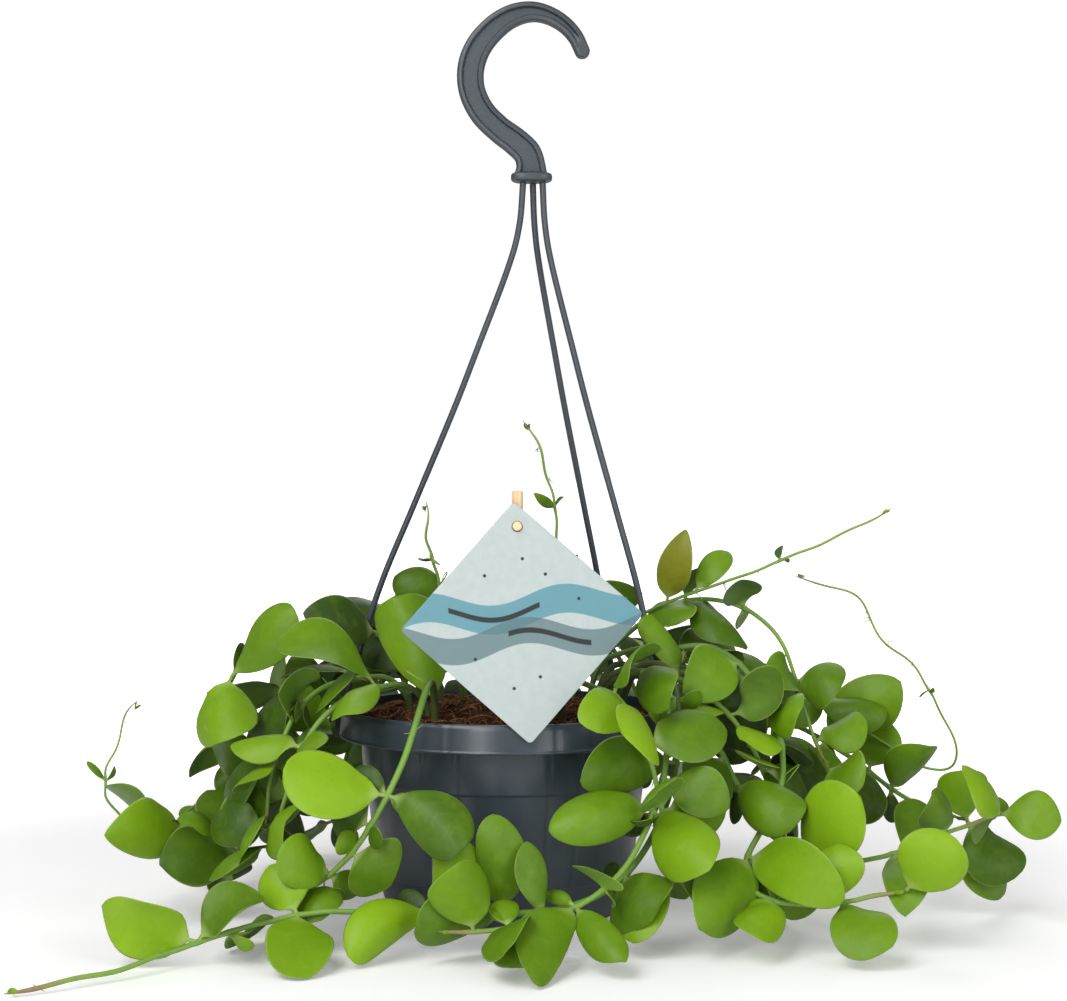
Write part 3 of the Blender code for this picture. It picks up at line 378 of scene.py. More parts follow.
SPRAYS: list[Spray] = [
    Spray("back_a", 28, 128, 116, 34, 14, 4),
    Spray("back_b", 62, 118, 122, 52, -10, 4),
    Spray("back_c", 80, 142, 112, 22, 10, 5),
    Spray("back_d", 98, 120, 124, 58, -8, 4),
    Spray("back_e", 116, 146, 114, 20, 12, 5),
    Spray("back_f", 134, 122, 120, 48, -12, 4),
    Spray("back_g", 152, 134, 112, 30, 10, 4),
    Spray("side_left", 196, 112, 108, 44, 8, 4),
    Spray("side_right", 8, 122, 112, 46, -8, 4),
    Spray("front_right", 304, 108, 108, 30, 6, 4),
    Spray("right_low", 338, 126, 108, 26, 8, 4),
    Spray("left_front", 220, 112, 106, 38, -10, 3),
]


# Vector helpers


def unit(v: Array) -> Array:
    """A vector, or each row of an array, divided by its length."""
    v = np.asarray(v, float)
    return v / np.maximum(np.linalg.norm(v, axis=-1, keepdims=True), 1e-9)


def lengths(points: Array) -> Array:
    """The distance along a polyline to each of its points."""
    return np.concatenate([[0], np.cumsum(np.linalg.norm(np.diff(points, axis=0), axis=1))])


def evenly(points: Array, step: float) -> Array:
    """A polyline read again by linear interpolation at even steps of about this length."""
    along = lengths(points)
    count = max(3, round(along[-1] / step) + 1)
    wanted = np.linspace(0, along[-1], count)
    return np.stack([np.interp(wanted, along, points[:, k]) for k in range(3)], axis=1)


def smooth_curve(points: list | Array, step: float) -> Array:
    """A Catmull-Rom curve through the points, read at even steps.

    Each span is 0.5 (2b + (c - a)t + (2a - 5b + 4c - d)t^2 + (3b - a - 3c + d)t^3) for its neighbours a to d.

    Args:
        points: The points that the curve passes through.
        step: The wanted distance between the points read.

    Returns:
        The points read, one a row.
    """
    p = np.asarray(points, float)
    p = np.vstack([2 * p[0] - p[1], p, 2 * p[-1] - p[-2]])
    t = np.linspace(0, 1, 24, endpoint=False)[:, None]
    runs = []
    for a, b, c, d in zip(p, p[1:], p[2:], p[3:]):
        runs.append(
            0.5 * (2 * b + (c - a) * t + (2 * a - 5 * b + 4 * c - d) * t**2 + (3 * b - a - 3 * c + d) * t**3)
        )
    return evenly(np.vstack(runs + [p[-2:-1]]), step)


def frames_along(points: Array) -> tuple[Array, Array]:
    """Two unit vectors square to a line at each of its points, carried along it without twist."""
    tangents = unit(np.gradient(points, axis=0))
    side = unit(np.cross(tangents[0], (0.31, 0.95, 0.05)))
    sides = []
    for tangent in tangents:
        side = unit(side - tangent * np.dot(side, tangent))
        sides.append(side)
    across = np.array(sides)
    return across, np.cross(tangents, across)


def smoothstep(x: Array | float, low: float, high: float) -> Array:
    """3t^2 - 2t^3 of x's share of the way from low to high, held at 0 and 1."""
    t = np.clip((np.asarray(x, float) - low) / (high - low), 0, 1)
    return t * t * (3 - 2 * t)


def random_way(draw: random.Random) -> Array:
    """A vector of three even draws from -1 to 1."""
    return np.array([draw.uniform(-1, 1) for _ in range(3)])


def compass(azimuth: float, reach: float) -> Array:
    """The X and Y of a place at an azimuth in degrees and a reach from the axis."""
    turn = math.radians(azimuth)
    return np.array((reach * math.cos(turn), reach * math.sin(turn)))


# Meshes


def shown(name: str, data: bpy.types.ID) -> bpy.types.Object:
    """A new object in the scene."""
    made = bpy.data.objects.new(name, data)
    bpy.context.scene.collection.objects.link(made)
    return made


def points_of(mesh: bpy.types.Mesh) -> Array:
    """A mesh's points in millimetres, one a row."""
    flat = np.empty(len(mesh.vertices) * 3)
    mesh.vertices.foreach_get("co", flat)
    return flat.reshape(-1, 3) / MM


def box_corners() -> tuple[Array, Array]:
    """The low and the high corner of the solids' box, in millimetres."""
    low, high = (np.array(corner) / MM for corner in BOX)
    return low, high


def ring_quads(count: int, around: int, closed: bool = False) -> Array:
    """The faces between rings: each joins a place and the next on one ring to the same two on the ring after.

    Args:
        count: How many rings there are.
        around: How many places a ring has.
        closed: Whether the last ring joins the first.

    Returns:
        The four corners of each face, one face a row.
    """
    k = np.arange(around)
    after = (k + 1) % around
    ring = np.arange(count if closed else count - 1)[:, None]
    row, following = ring * around, (ring + 1) % count * around
    return np.stack([row + k, row + after, following + after, following + k], axis=-1).reshape(-1, 4)


@dataclass
class Shell:
    """A closed surface on a grid: points, faces and values held at its points."""

    points: Array
    faces: list[tuple[int, ...]]
    values: dict[str, Array] = field(default_factory=dict)

    @staticmethod
    def from_rings(rings: Array, values: dict[str, Array] | None = None) -> "Shell":
        """Closes a stack of rings round a line with a pole at each end.

        Args:
            rings: An array of ring, place round it and coordinate.
            values: Arrays of ring and place, held at the points.

        Returns:
            The closed shell, its poles at the middle of the first and last ring.
        """
        count, around = rings.shape[:2]
        body = rings.reshape(-1, 3)
        poles = np.stack([rings[0].mean(axis=0), rings[-1].mean(axis=0)])
        k = np.arange(around)
        after = (k + 1) % around
        start, end = count * around, count * around + 1
        last = (count - 1) * around
        first_cap = np.stack([np.full(around, start), after, k], axis=1)
        last_cap = np.stack([np.full(around, end), last + k, last + after], axis=1)
        faces = ring_quads(count, around).tolist() + first_cap.tolist() + last_cap.tolist()
        held = {}
        for name, grid in (values or {}).items():
            held[name] = np.concatenate([grid.reshape(-1), [grid[0].mean(), grid[-1].mean()]])
        return Shell(np.vstack([body, poles]), faces, held)

    @staticmethod
    def joined(shells: list["Shell"]) -> "Shell":
        """Several shells as one, each still closed."""
        points, faces, shift = [], [], 0
        for shell in shells:
            points.append(shell.points)
            faces += [tuple(corner + shift for corner in face) for face in shell.faces]
            shift += len(shell.points)
        names = shells[0].values
        values = {name: np.concatenate([shell.values[name] for shell in shells]) for name in names}
        return Shell(np.vstack(points), faces, values)

    def volume_sign(self) -> float:
        """The sign of the enclosed volume, from the fans of its three- and four-sided faces."""
        total = 0.0
        for size in (3, 4):
            faces = np.array([face for face in self.faces if len(face) == size])
            if not len(faces):
                continue
            corners = self.points[faces]
            for k in range(1, size - 1):
                cross = np.cross(corners[:, k], corners[:, k + 1])
                total += float(np.einsum("ij,ij->", corners[:, 0], cross))
        return math.copysign(1.0, total)

    def outward(self) -> "Shell":
        """The same shell with its faces turned to point out."""
        if self.volume_sign() < 0:
            self.faces = [tuple(reversed(face)) for face in self.faces]
        return self

    def to_object(
        self, name: str, finish: bpy.types.Material, smooth_angle: float = 180.0
    ) -> bpy.types.Object:
        """Makes the mesh, in metres and kept inside the CAD's box, with its values as point attributes.

        Args:
            name: The piece's name.
            finish: Its material.
            smooth_angle: Edges sharper than this many degrees are drawn sharp.

        Returns:
            The new object, at the origin.
        """
        mesh = bpy.data.meshes.new(name)
        mesh.from_pydata(np.clip(self.points * MM, *BOX).tolist(), [], self.faces)
        for label, held in self.values.items():
            layer = mesh.attributes.new(label, "FLOAT", "POINT")
            layer.data.foreach_set("value", held.astype(np.float32))
        mesh.shade_smooth()
        if smooth_angle < 180:
            mesh.set_sharp_from_angle(angle=math.radians(smooth_angle))
        mesh.materials.append(finish)
        return shown(name, mesh)


def swept(line: Array, radii: Array, around: int) -> Array:
    """Round rings along a line: each is centre + radius (cos a across + sin a up)."""
    across, up = frames_along(line)
    turns = 2 * math.pi * np.arange(around) / around
    spin = np.cos(turns)[None, :, None] * across[:, None] + np.sin(turns)[None, :, None] * up[:, None]
    return line[:, None] + spin * np.asarray(radii, float)[:, None, None]


def turned(profile: Array, around: int) -> Shell:
    """A solid of revolution round Z from (radius, height) rows, whose first and last lie on the axis."""
    turns = 2 * math.pi * np.arange(around) / around
    reach, height = profile[1:-1, :1], profile[1:-1, 1:]
    sides = [reach * np.cos(turns)[None], reach * np.sin(turns)[None], np.repeat(height, around, axis=1)]
    return Shell.from_rings(np.stack(sides, axis=-1))


def rounded_profile(corners: list[tuple[float, float, float]], steps: int = 5) -> Array:
    """An outline with each corner replaced by an arc-like curve.

    Each corner is (radius, height, fillet): the curve runs between points a fillet away along both edges,
    as the quadratic Bezier curve whose middle control is the corner. A fillet takes less than half of an
    edge.

    Args:
        corners: The corners in order, with their fillets; 0 keeps a corner sharp.
        steps: How many spans a curve has.

    Returns:
        The outline's (radius, height) rows.
    """
    edge_share = 0.48
    rows: list[Array] = []
    flat = [np.array(c[:2], float) for c in corners]
    for k, (corner, fillet) in enumerate(zip(flat, (c[2] for c in corners))):
        if k in (0, len(flat) - 1) or fillet == 0:
            rows.append(corner[None])
            continue
        before, after = flat[k - 1] - corner, flat[k + 1] - corner
        start = corner + unit(before) * min(fillet, edge_share * float(np.linalg.norm(before)))
        end = corner + unit(after) * min(fillet, edge_share * float(np.linalg.norm(after)))
        t = np.linspace(0, 1, steps + 1)[:, None]
        rows.append((1 - t) ** 2 * start + 2 * t * (1 - t) * corner + t**2 * end)
    return np.vstack(rows)


def dense_profile(outline: Array, step: float) -> Array:
    """An outline with points added so that no span is longer than the step."""
    rows = [outline[:1]]
    for a, b in zip(outline, outline[1:]):
        count = max(1, math.ceil(float(np.linalg.norm(b - a)) / step))
        share = (np.arange(count) + 1)[:, None] / count
        rows.append(a + (b - a) * share)
    return np.vstack(rows)


# Materials


class NodePad:
    """A new material's node tree, with short calls for the nodes that the finishes use."""

    def __init__(self, name: str) -> None:
        """Starts a material with its Principled shader."""
        self.material = bpy.data.materials.new(name)
        self.material.use_nodes = True
        self.tree = self.material.node_tree
        self.shader = self.tree.nodes["Principled BSDF"]
        self.coordinates = self.tree.nodes.new("ShaderNodeTexCoord")

    def link(self, source: Socket, target: Socket) -> None:
        """Joins two sockets."""
        self.tree.links.new(source, target)

    def settings(self, **values: float | Colour) -> None:
        """Sets the shader's own sockets by name, with underscores for spaces."""
        for name, value in values.items():
            socket = self.shader.inputs[name.replace("_", " ")]
            socket.default_value = (*value, 1.0) if name.endswith("_Color") else value

    def stretched(self, along_z: float) -> Socket:
        """Object coordinates scaled along Z, so that a pattern runs up the piece."""
        node = self.tree.nodes.new("ShaderNodeMapping")
        node.inputs["Scale"].default_value = (1, 1, along_z)
        self.link(self.coordinates.outputs["Object"], node.inputs["Vector"])
        return node.outputs["Vector"]

    def held(self, name: str) -> Socket:
        """A value held at the mesh's points."""
        node = self.tree.nodes.new("ShaderNodeAttribute")
        node.attribute_name = name
        return node.outputs["Fac"]

    def noise(
        self, scale: float, detail: float = 3.0, where: Socket | None = None, rough: float = 0.55
    ) -> Socket:
        """Noise over the piece, 0 to 1."""
        node = self.tree.nodes.new("ShaderNodeTexNoise")
        node.inputs["Scale"].default_value = scale
        node.inputs["Detail"].default_value = detail
        node.inputs["Roughness"].default_value = rough
        self.link(where or self.coordinates.outputs["Object"], node.inputs["Vector"])
        return node.outputs["Fac"]

    def maths(self, kind: str, a: Socket | float, b: Socket | float = 0.0) -> Socket:
        """One sum on two values, of Blender's kinds."""
        node = self.tree.nodes.new("ShaderNodeMath")
        node.operation = kind
        for slot, value in zip(node.inputs, (a, b)):
            if isinstance(value, (int, float)):
                slot.default_value = value
            else:
                self.link(value, slot)
        return node.outputs[0]

    def times(self, a: Socket | float, b: Socket | float) -> Socket:
        """a times b."""
        return self.maths("MULTIPLY", a, b)

    def plus(self, a: Socket | float, b: Socket | float) -> Socket:
        """a plus b."""
        return self.maths("ADD", a, b)

    def minus(self, a: Socket | float, b: Socket | float) -> Socket:
        """a minus b."""
        return self.maths("SUBTRACT", a, b)

    def uneven(self, value: Socket, blotch: Socket, size: float) -> Socket:
        """A value with noise added to it: value + size (blotch - 0.5)."""
        return self.plus(value, self.times(self.minus(blotch, 0.5), size))

    def between(self, value: Socket, low: float, high: float) -> Socket:
        """A value's smooth share of the way from low to high."""
        node = self.tree.nodes.new("ShaderNodeMapRange")
        node.interpolation_type = "SMOOTHSTEP"
        node.inputs["From Min"].default_value = low
        node.inputs["From Max"].default_value = high
        self.link(value, node.inputs["Value"])
        return node.outputs["Result"]

    def ramp(self, value: Socket, stops: list[tuple[float, Colour]]) -> Socket:
        """Colours along a value."""
        node = self.tree.nodes.new("ShaderNodeValToRGB")
        band = node.color_ramp
        while len(band.elements) < len(stops):
            band.elements.new(0.5)
        for element, (at, colour) in zip(band.elements, stops):
            element.position = at
            element.color = (*colour, 1.0)
        self.link(value, node.inputs["Fac"])
        return node.outputs["Color"]

    def mix(self, share: Socket | float, a: Socket | Colour, b: Socket | Colour) -> Socket:
        """Two colours mixed: a at a share of 0, b at 1."""
        node = self.tree.nodes.new("ShaderNodeMix")
        node.data_type = "RGBA"
        sockets = (node.inputs[0], node.inputs[6], node.inputs[7])
        for slot, value in zip(sockets, (share, a, b)):
            if isinstance(value, Socket):
                self.link(value, slot)
            elif isinstance(value, tuple):
                slot.default_value = (*value, 1.0)
            else:
                slot.default_value = value
        return node.outputs[2]

    def layered(self, base: Socket, layers: list[tuple[Socket, float, Colour]]) -> Socket:
        """A colour with others laid over it, each (where it lies, how strongly, its colour)."""
        for where, strength, colour in layers:
            base = self.mix(self.times(where, strength), base, colour)
        return base

    def bump(self, height: Socket, strength: float, distance: float) -> None:
        """Joins a height to the shader's normal."""
        node = self.tree.nodes.new("ShaderNodeBump")
        node.inputs["Strength"].default_value = strength
        node.inputs["Distance"].default_value = distance
        self.link(height, node.inputs["Height"])
        self.link(node.outputs["Normal"], self.shader.inputs["Normal"])

    def colour(self, source: Socket) -> None:
        """Joins a colour to the shader."""
        self.link(source, self.shader.inputs["Base Color"])

    def roughness(self, value: Socket, low: float, high: float) -> None:
        """Joins a 0 to 1 value to the shader's roughness, between low and high."""
        node = self.tree.nodes.new("ShaderNodeMapRange")
        node.inputs["To Min"].default_value = low
        node.inputs["To Max"].default_value = high
        self.link(value, node.inputs["Value"])
        self.link(node.outputs["Result"], self.shader.inputs["Roughness"])


@dataclass(frozen=True)
class SatinPlastic:
    """Moulded plastic: one dark colour with soft blotches, faint flow marks and a fine grain."""

    name: str
    colour: Colour
    lighter: Colour
    low_roughness: float
    high_roughness: float
    grain: float = 0.06

    def material(self) -> bpy.types.Material:
        """Builds the finish."""
        pad = NodePad(self.name)
        blotch = pad.noise(14, 4)
        streak = pad.noise(9, 3, pad.stretched(0.12))
        tone = pad.times(pad.plus(blotch, streak), 0.5)
        pad.colour(pad.mix(pad.between(tone, 0.35, 0.7), self.colour, self.lighter))
        pad.roughness(blotch, self.low_roughness, self.high_roughness)
        pad.bump(pad.noise(900, 2), self.grain, 0.0004)
        pad.settings(Specular_IOR_Level=0.5, Coat_Weight=0.12, Coat_Roughness=0.25)
        return pad.material


@dataclass(frozen=True)
class WaxyLeaf:
    """A fleshy leaf: green by age and by painted shade and light, a paler underside, stalk, rim and midrib,
    and a soft waxy sheen.

    It reads four values of the leaf: along, from base to tip; across, from midrib 0 to edge 1; upper, 1
    on the upper face; and age, from old 0 to young 1, which for leaves also holds painted shade, dark deep in
    the mass, and painted light, bright towards the viewer, outside and high up.
    """

    name: str = "waxy_leaf"

    def material(self) -> bpy.types.Material:
        """Builds the finish."""
        pad = NodePad(self.name)
        along, across = pad.held("along"), pad.held("across")
        upper, age = pad.held("upper"), pad.held("age")
        # painted shade and light: the age value puts leaves deep in the mass towards dark green and front,
        # outer and high ones towards bright green
        tone = pad.uneven(age, pad.noise(32, 4), 0.22)
        green = pad.ramp(
            tone,
            [
                (0.0, (0.008, 0.022, 0.0015)),
                (0.22, (0.034, 0.082, 0.003)),
                (0.5, (0.120, 0.245, 0.004)),
                (0.8, (0.248, 0.436, 0.006)),
                (1.0, (0.19, 0.20, 0.012)),
            ],
        )
        underside = pad.mix(0.3, green, (0.22, 0.36, 0.09))
        rib = pad.minus(1.0, pad.between(across, 0.01, 0.05))
        rim = pad.between(across, 0.93, 0.99)
        stalk = pad.between(along, 0.14, 0.0)
        speck = pad.between(pad.noise(460, 2), 0.6, 0.8)
        cloud = pad.between(pad.noise(150, 4), 0.42, 0.7)
        layers = [
            (rib, 0.2, (0.33, 0.52, 0.1)),
            (rim, 0.6, (0.36, 0.5, 0.12)),
            (stalk, 0.55, (0.42, 0.55, 0.17)),
            (speck, 0.18, (0.03, 0.08, 0.008)),
            (cloud, 0.07, (0.4, 0.55, 0.06)),
            (self._veins(pad, along, across), 0.04, (0.36, 0.55, 0.1)),
        ]
        pad.colour(pad.layered(pad.mix(upper, underside, green), layers))
        pad.roughness(pad.noise(55, 3), 0.36, 0.52)
        groove = pad.times(pad.minus(1.0, pad.between(across, 0.0, 0.09)), -0.8)
        pad.bump(pad.plus(groove, pad.times(pad.noise(420, 3), 0.9)), 0.14, 0.0006)
        pad.settings(Specular_IOR_Level=0.28)
        return pad.material

    @staticmethod
    def _veins(pad: NodePad, along: Socket, across: Socket) -> Socket:
        """Faint side veins: peaks of sin(26(along - 0.45 across) + 3 noise), fading to the edge."""
        slant = pad.minus(along, pad.times(across, 0.45))
        wave = pad.maths("SINE", pad.plus(pad.times(slant, 26.0), pad.times(pad.noise(60, 3), 3.0)))
        return pad.times(pad.between(wave, 0.86, 1.0), pad.between(across, 0.9, 0.2))


@dataclass(frozen=True)
class GreenStem:
    """A stem: dark and corky where old, green along its middle and tan at a young tip, with pale scars.

    It reads the value age of the stem, from its root 0 to its tip 1.
    """

    name: str = "green_stem"

    def material(self) -> bpy.types.Material:
        """Builds the finish."""
        pad = NodePad(self.name)
        age = pad.held("age")
        blotch = pad.noise(60, 4)
        colour = pad.ramp(
            pad.uneven(age, blotch, 0.3),
            [
                (0.0, (0.055, 0.075, 0.018)),
                (0.2, (0.10, 0.19, 0.028)),
                (0.6, (0.17, 0.33, 0.045)),
                (0.85, (0.24, 0.37, 0.07)),
                (1.0, (0.27, 0.2, 0.09)),
            ],
        )
        scar = pad.between(pad.noise(300, 3), 0.6, 0.75)
        pad.colour(pad.layered(colour, [(scar, 0.35, (0.2, 0.17, 0.08))]))
        pad.roughness(blotch, 0.4, 0.62)
        pad.bump(pad.noise(1100, 3), 0.2, 0.0004)
        pad.settings(Specular_IOR_Level=0.35)
        return pad.material


@dataclass(frozen=True)
class PottingSoil:
    """Damp peat and coir: red-brown in darker and lighter patches, with pale flecks."""

    name: str
    dark: Colour
    light: Colour
    fleck: Colour

    def material(self) -> bpy.types.Material:
        """Builds the finish."""
        pad = NodePad(self.name)
        clod = pad.noise(130, 6, rough=0.7)
        base = pad.mix(pad.between(clod, 0.35, 0.7), self.dark, self.light)
        fleck = pad.between(pad.noise(520, 3), 0.66, 0.74)
        pad.colour(pad.mix(fleck, base, self.fleck))
        pad.bump(pad.noise(420, 6, rough=0.75), 0.9, 0.002)
        pad.settings(Roughness=0.95, Specular_IOR_Level=0.15)
        return pad.material


@dataclass(frozen=True)
class PlainWood:
    """Pale sanded dowel wood: fine grain along the stick with a few darker streaks."""

    name: str = "light_wood"

    def material(self) -> bpy.types.Material:
        """Builds the finish."""
        pad = NodePad(self.name)
        grain = pad.noise(520, 5, pad.stretched(0.05))
        streak = pad.noise(190, 3, pad.stretched(0.03))
        colour = pad.mix(pad.between(grain, 0.35, 0.7), (0.86, 0.66, 0.41), (0.72, 0.49, 0.26))
        pad.colour(pad.layered(colour, [(pad.between(streak, 0.62, 0.75), 0.4, (0.5, 0.3, 0.14))]))
        pad.bump(grain, 0.25, 0.0003)
        pad.settings(Roughness=0.62, Specular_IOR_Level=0.3)
        return pad.material


@dataclass(frozen=True)
class PrintedCard:
    """Matt card with a plain design of its own: two waving bands, a dark wavy line in each and a few dots.

    It reads the card's UV map, whose U runs right and V up across the whole diamond, 0 to 1, and the value
    printed, which is 1 on the front and 0 on the plain back and edge. A wave is (level, phase) and a
    stroke is (middle, half its length), in shares of the diamond. A band is (half its width, strength).
    """

    name: str = "printed_card"
    ground: Colour = (0.425, 0.485, 0.475)
    teal: Colour = (0.065, 0.25, 0.31)
    grey_green: Colour = (0.085, 0.165, 0.18)
    line: Colour = (0.018, 0.024, 0.028)
    waves: tuple[tuple[float, float], ...] = ((0.55, 0.4), (0.43, 2.2))
    bands: tuple[tuple[float, float], ...] = ((0.062, 0.86), (0.056, 0.82))
    strokes: tuple[tuple[float, float], ...] = ((0.39, 0.19), (0.61, 0.17))
    soft: float = 0.004
    dots: tuple[tuple[float, float], ...] = (
        (0.36, 0.70), (0.52, 0.76), (0.61, 0.69), (0.74, 0.58), (0.30, 0.36), (0.45, 0.23), (0.56, 0.27),
    )

    def material(self) -> bpy.types.Material:
        """Builds the finish."""
        pad = NodePad(self.name)
        pad.settings(Roughness=0.5, Specular_IOR_Level=0.35)
        split = pad.tree.nodes.new("ShaderNodeSeparateXYZ")
        pad.link(pad.coordinates.outputs["UV"], split.inputs[0])
        u, v = split.outputs[0], split.outputs[1]
        paper = pad.mix(pad.between(pad.noise(260, 3), 0.3, 0.7), self.ground, (0.455, 0.515, 0.505))
        colour = paper
        waves = [self._off_wave(pad, u, v, level, phase) for level, phase in self.waves]
        for wave, (half, strength), tint in zip(waves, self.bands, (self.teal, self.grey_green)):
            colour = pad.layered(colour, [(pad.between(wave, half, half - self.soft), strength, tint)])
        for wave, (middle, half) in zip(waves, self.strokes):
            stroke = pad.between(wave, 0.013, 0.009)
            ends = pad.between(pad.maths("ABSOLUTE", pad.minus(u, middle)), half, half - self.soft)
            colour = pad.mix(pad.times(stroke, ends), colour, self.line)
        for place in self.dots:
            colour = pad.mix(self._dot(pad, u, v, place), colour, self.line)
        pad.colour(pad.mix(pad.between(pad.held("printed"), 0.45, 0.55), paper, colour))
        pad.bump(pad.noise(1500, 2), 0.06, 0.0002)
        return pad.material

    @staticmethod
    def _off_wave(pad: NodePad, u: Socket, v: Socket, level: float, phase: float) -> Socket:
        """How far a place is off a wavy line: the size of v - level - 0.035 sin(11 u + phase)."""
        swing = pad.maths("SINE", pad.plus(pad.times(u, 11.0), phase))
        return pad.maths("ABSOLUTE", pad.minus(pad.minus(v, level), pad.times(swing, 0.035)))

    @staticmethod
    def _dot(pad: NodePad, u: Socket, v: Socket, centre: tuple[float, float]) -> Socket:
        """1 in a small dot, from the root of the squares of both differences."""
        du, dv = pad.minus(u, centre[0]), pad.minus(v, centre[1])
        total = pad.plus(pad.times(du, du), pad.times(dv, dv))
        return pad.between(pad.maths("SQRT", total), 0.0085, 0.0055)


@dataclass(frozen=True)
class PaleFloor:
    """The plain pale surface that the pot stands on, which fades to the white background away from it."""

    name: str = "pale_floor"
    near: float = 0.28
    far: float = 0.7
    least: float = 0.2

    def material(self) -> bpy.types.Material:
        """Builds the finish: the fade is seen by the camera alone, so it lights nothing."""
        pad = NodePad(self.name)
        pad.settings(Base_Color=(0.9, 0.9, 0.9), Emission_Color=(1.0, 1.0, 1.0))
        pad.settings(Roughness=0.75, Specular_IOR_Level=0.15)
        spread = pad.tree.nodes.new("ShaderNodeVectorMath")
        spread.operation = "LENGTH"
        pad.link(pad.coordinates.outputs["Object"], spread.inputs[0])
        fade = pad.plus(pad.between(spread.outputs["Value"], self.near, self.far), self.least)
        path = pad.tree.nodes.new("ShaderNodeLightPath")
        seen = pad.times(fade, path.outputs["Is Camera Ray"])
        pad.link(seen, pad.shader.inputs["Emission Strength"])
        return pad.material


# The pieces


@dataclass
class Piece:
    """What every sub-assembly does with a finished object."""

    def fit(self, made: bpy.types.Object, slot: str, *nodes: str) -> None:
        """Makes an object ride on the body, in place of the nodes it stands for.

        Args:
            made: The finished object.
            slot: A material slot of the record, by name; not used.
            nodes: The solids it replaces.
        """
        if nodes:
            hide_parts(*nodes)
        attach(made, BODY)
        log.info("%s: %d faces", made.name, len(made.data.polygons))


@dataclass
class Pot(Piece):
    """The pot: a collar over a stepped, tapering wall and a rounded foot, hollow, with a flat base."""

    height: float = 92.0
    collar_radius: float = 75.0
    collar_top_radius: float = 73.4
    collar_bottom: float = 79.5
    collar_inner_radius: float = 72.0
    wall: float = 1.4
    wall_top_radius: float = 65.0
    step_height: float = 60.0
    step_radius: float = 63.6
    line_height: float = 19.0
    line_radius: float = 57.8
    foot_height: float = 7.0
    foot_radius: float = 55.0
    base_radius: float = 50.0
    floor: float = 2.2
    seams: tuple[float, ...] = (-122, -108, -72, -59, -12, 34, 81, 127, 176)
    seam_width: float = 0.8
    seam_depth: float = 0.3
    around: int = 360
    finish: SatinPlastic = SatinPlastic(
        "pot_plastic", (0.026, 0.037, 0.047), (0.046, 0.063, 0.078), 0.24, 0.38
    )

    def profile(self) -> Array:
        """The wall's outline from the axis under the base, up outside, over the rim and down inside."""
        corners = [
            (0, 0, 0),
            (self.base_radius, 0, 1.6),
            (self.base_radius + 3.2, 2.0, 2.0),
            (self.foot_radius, self.foot_height, 2.5),
            (self.line_radius - 0.35, self.line_height - 0.3, 0.2),
            (self.line_radius, self.line_height, 0.2),
            (self.step_radius - 0.6, self.step_height, 0.3),
            (self.step_radius + 0.5, self.step_height + 1, 0.4),
            (self.wall_top_radius, self.collar_bottom, 0.3),
            (self.collar_radius - 0.3, self.collar_bottom, 0.4),
            (self.collar_radius, self.collar_bottom + 0.7, 0.4),
            (self.collar_radius - 0.45, self.collar_bottom + 1.5, 0.3),
            (self.collar_top_radius + 0.6, self.height - 1.6, 1.2),
            (self.collar_top_radius - 0.4, self.height, 0.5),
            (self.collar_inner_radius, self.height, 0.4),
            (self.collar_inner_radius, self.collar_bottom + self.wall, 0.5),
            (self.wall_top_radius - self.wall, self.collar_bottom - 0.5, 0.5),
            (self.line_radius - self.wall, self.line_height, 0.5),
            (self.foot_radius - self.wall, self.foot_height, 1.5),
            (self.base_radius, self.floor, 1.0),
            (0, self.floor, 0),
        ]
        return dense_profile(rounded_profile(corners), 6.0)

    def build(self) -> None:
        """Turns the profile and sinks a mould line, exp(-(angle / width)^2) deep, at each azimuth."""
        shell = turned(self.profile(), self.around)
        points = shell.points
        azimuth = np.degrees(np.arctan2(points[:, 1], points[:, 0]))
        reach = np.hypot(points[:, 0], points[:, 1])
        relief = np.zeros(len(points))
        for seam in self.seams:
            off = (azimuth - seam + 180) % 360 - 180
            relief = np.maximum(relief, np.exp(-((off / self.seam_width) ** 2)))
        in_collar = points[:, 2] > self.collar_bottom - 0.2
        outside = reach > np.where(in_collar, self.collar_inner_radius + 0.8, self.foot_radius - 0.5)
        outside &= points[:, 2] > self.foot_height
        sink = np.where(outside, -self.seam_depth * relief, 0.0)
        points[:, :2] *= (1 + sink / np.maximum(reach, 1))[:, None]
        made = shell.outward().to_object("pot_shell", self.finish.material(), 40)
        self.fit(made, "pot_plastic", "pot")


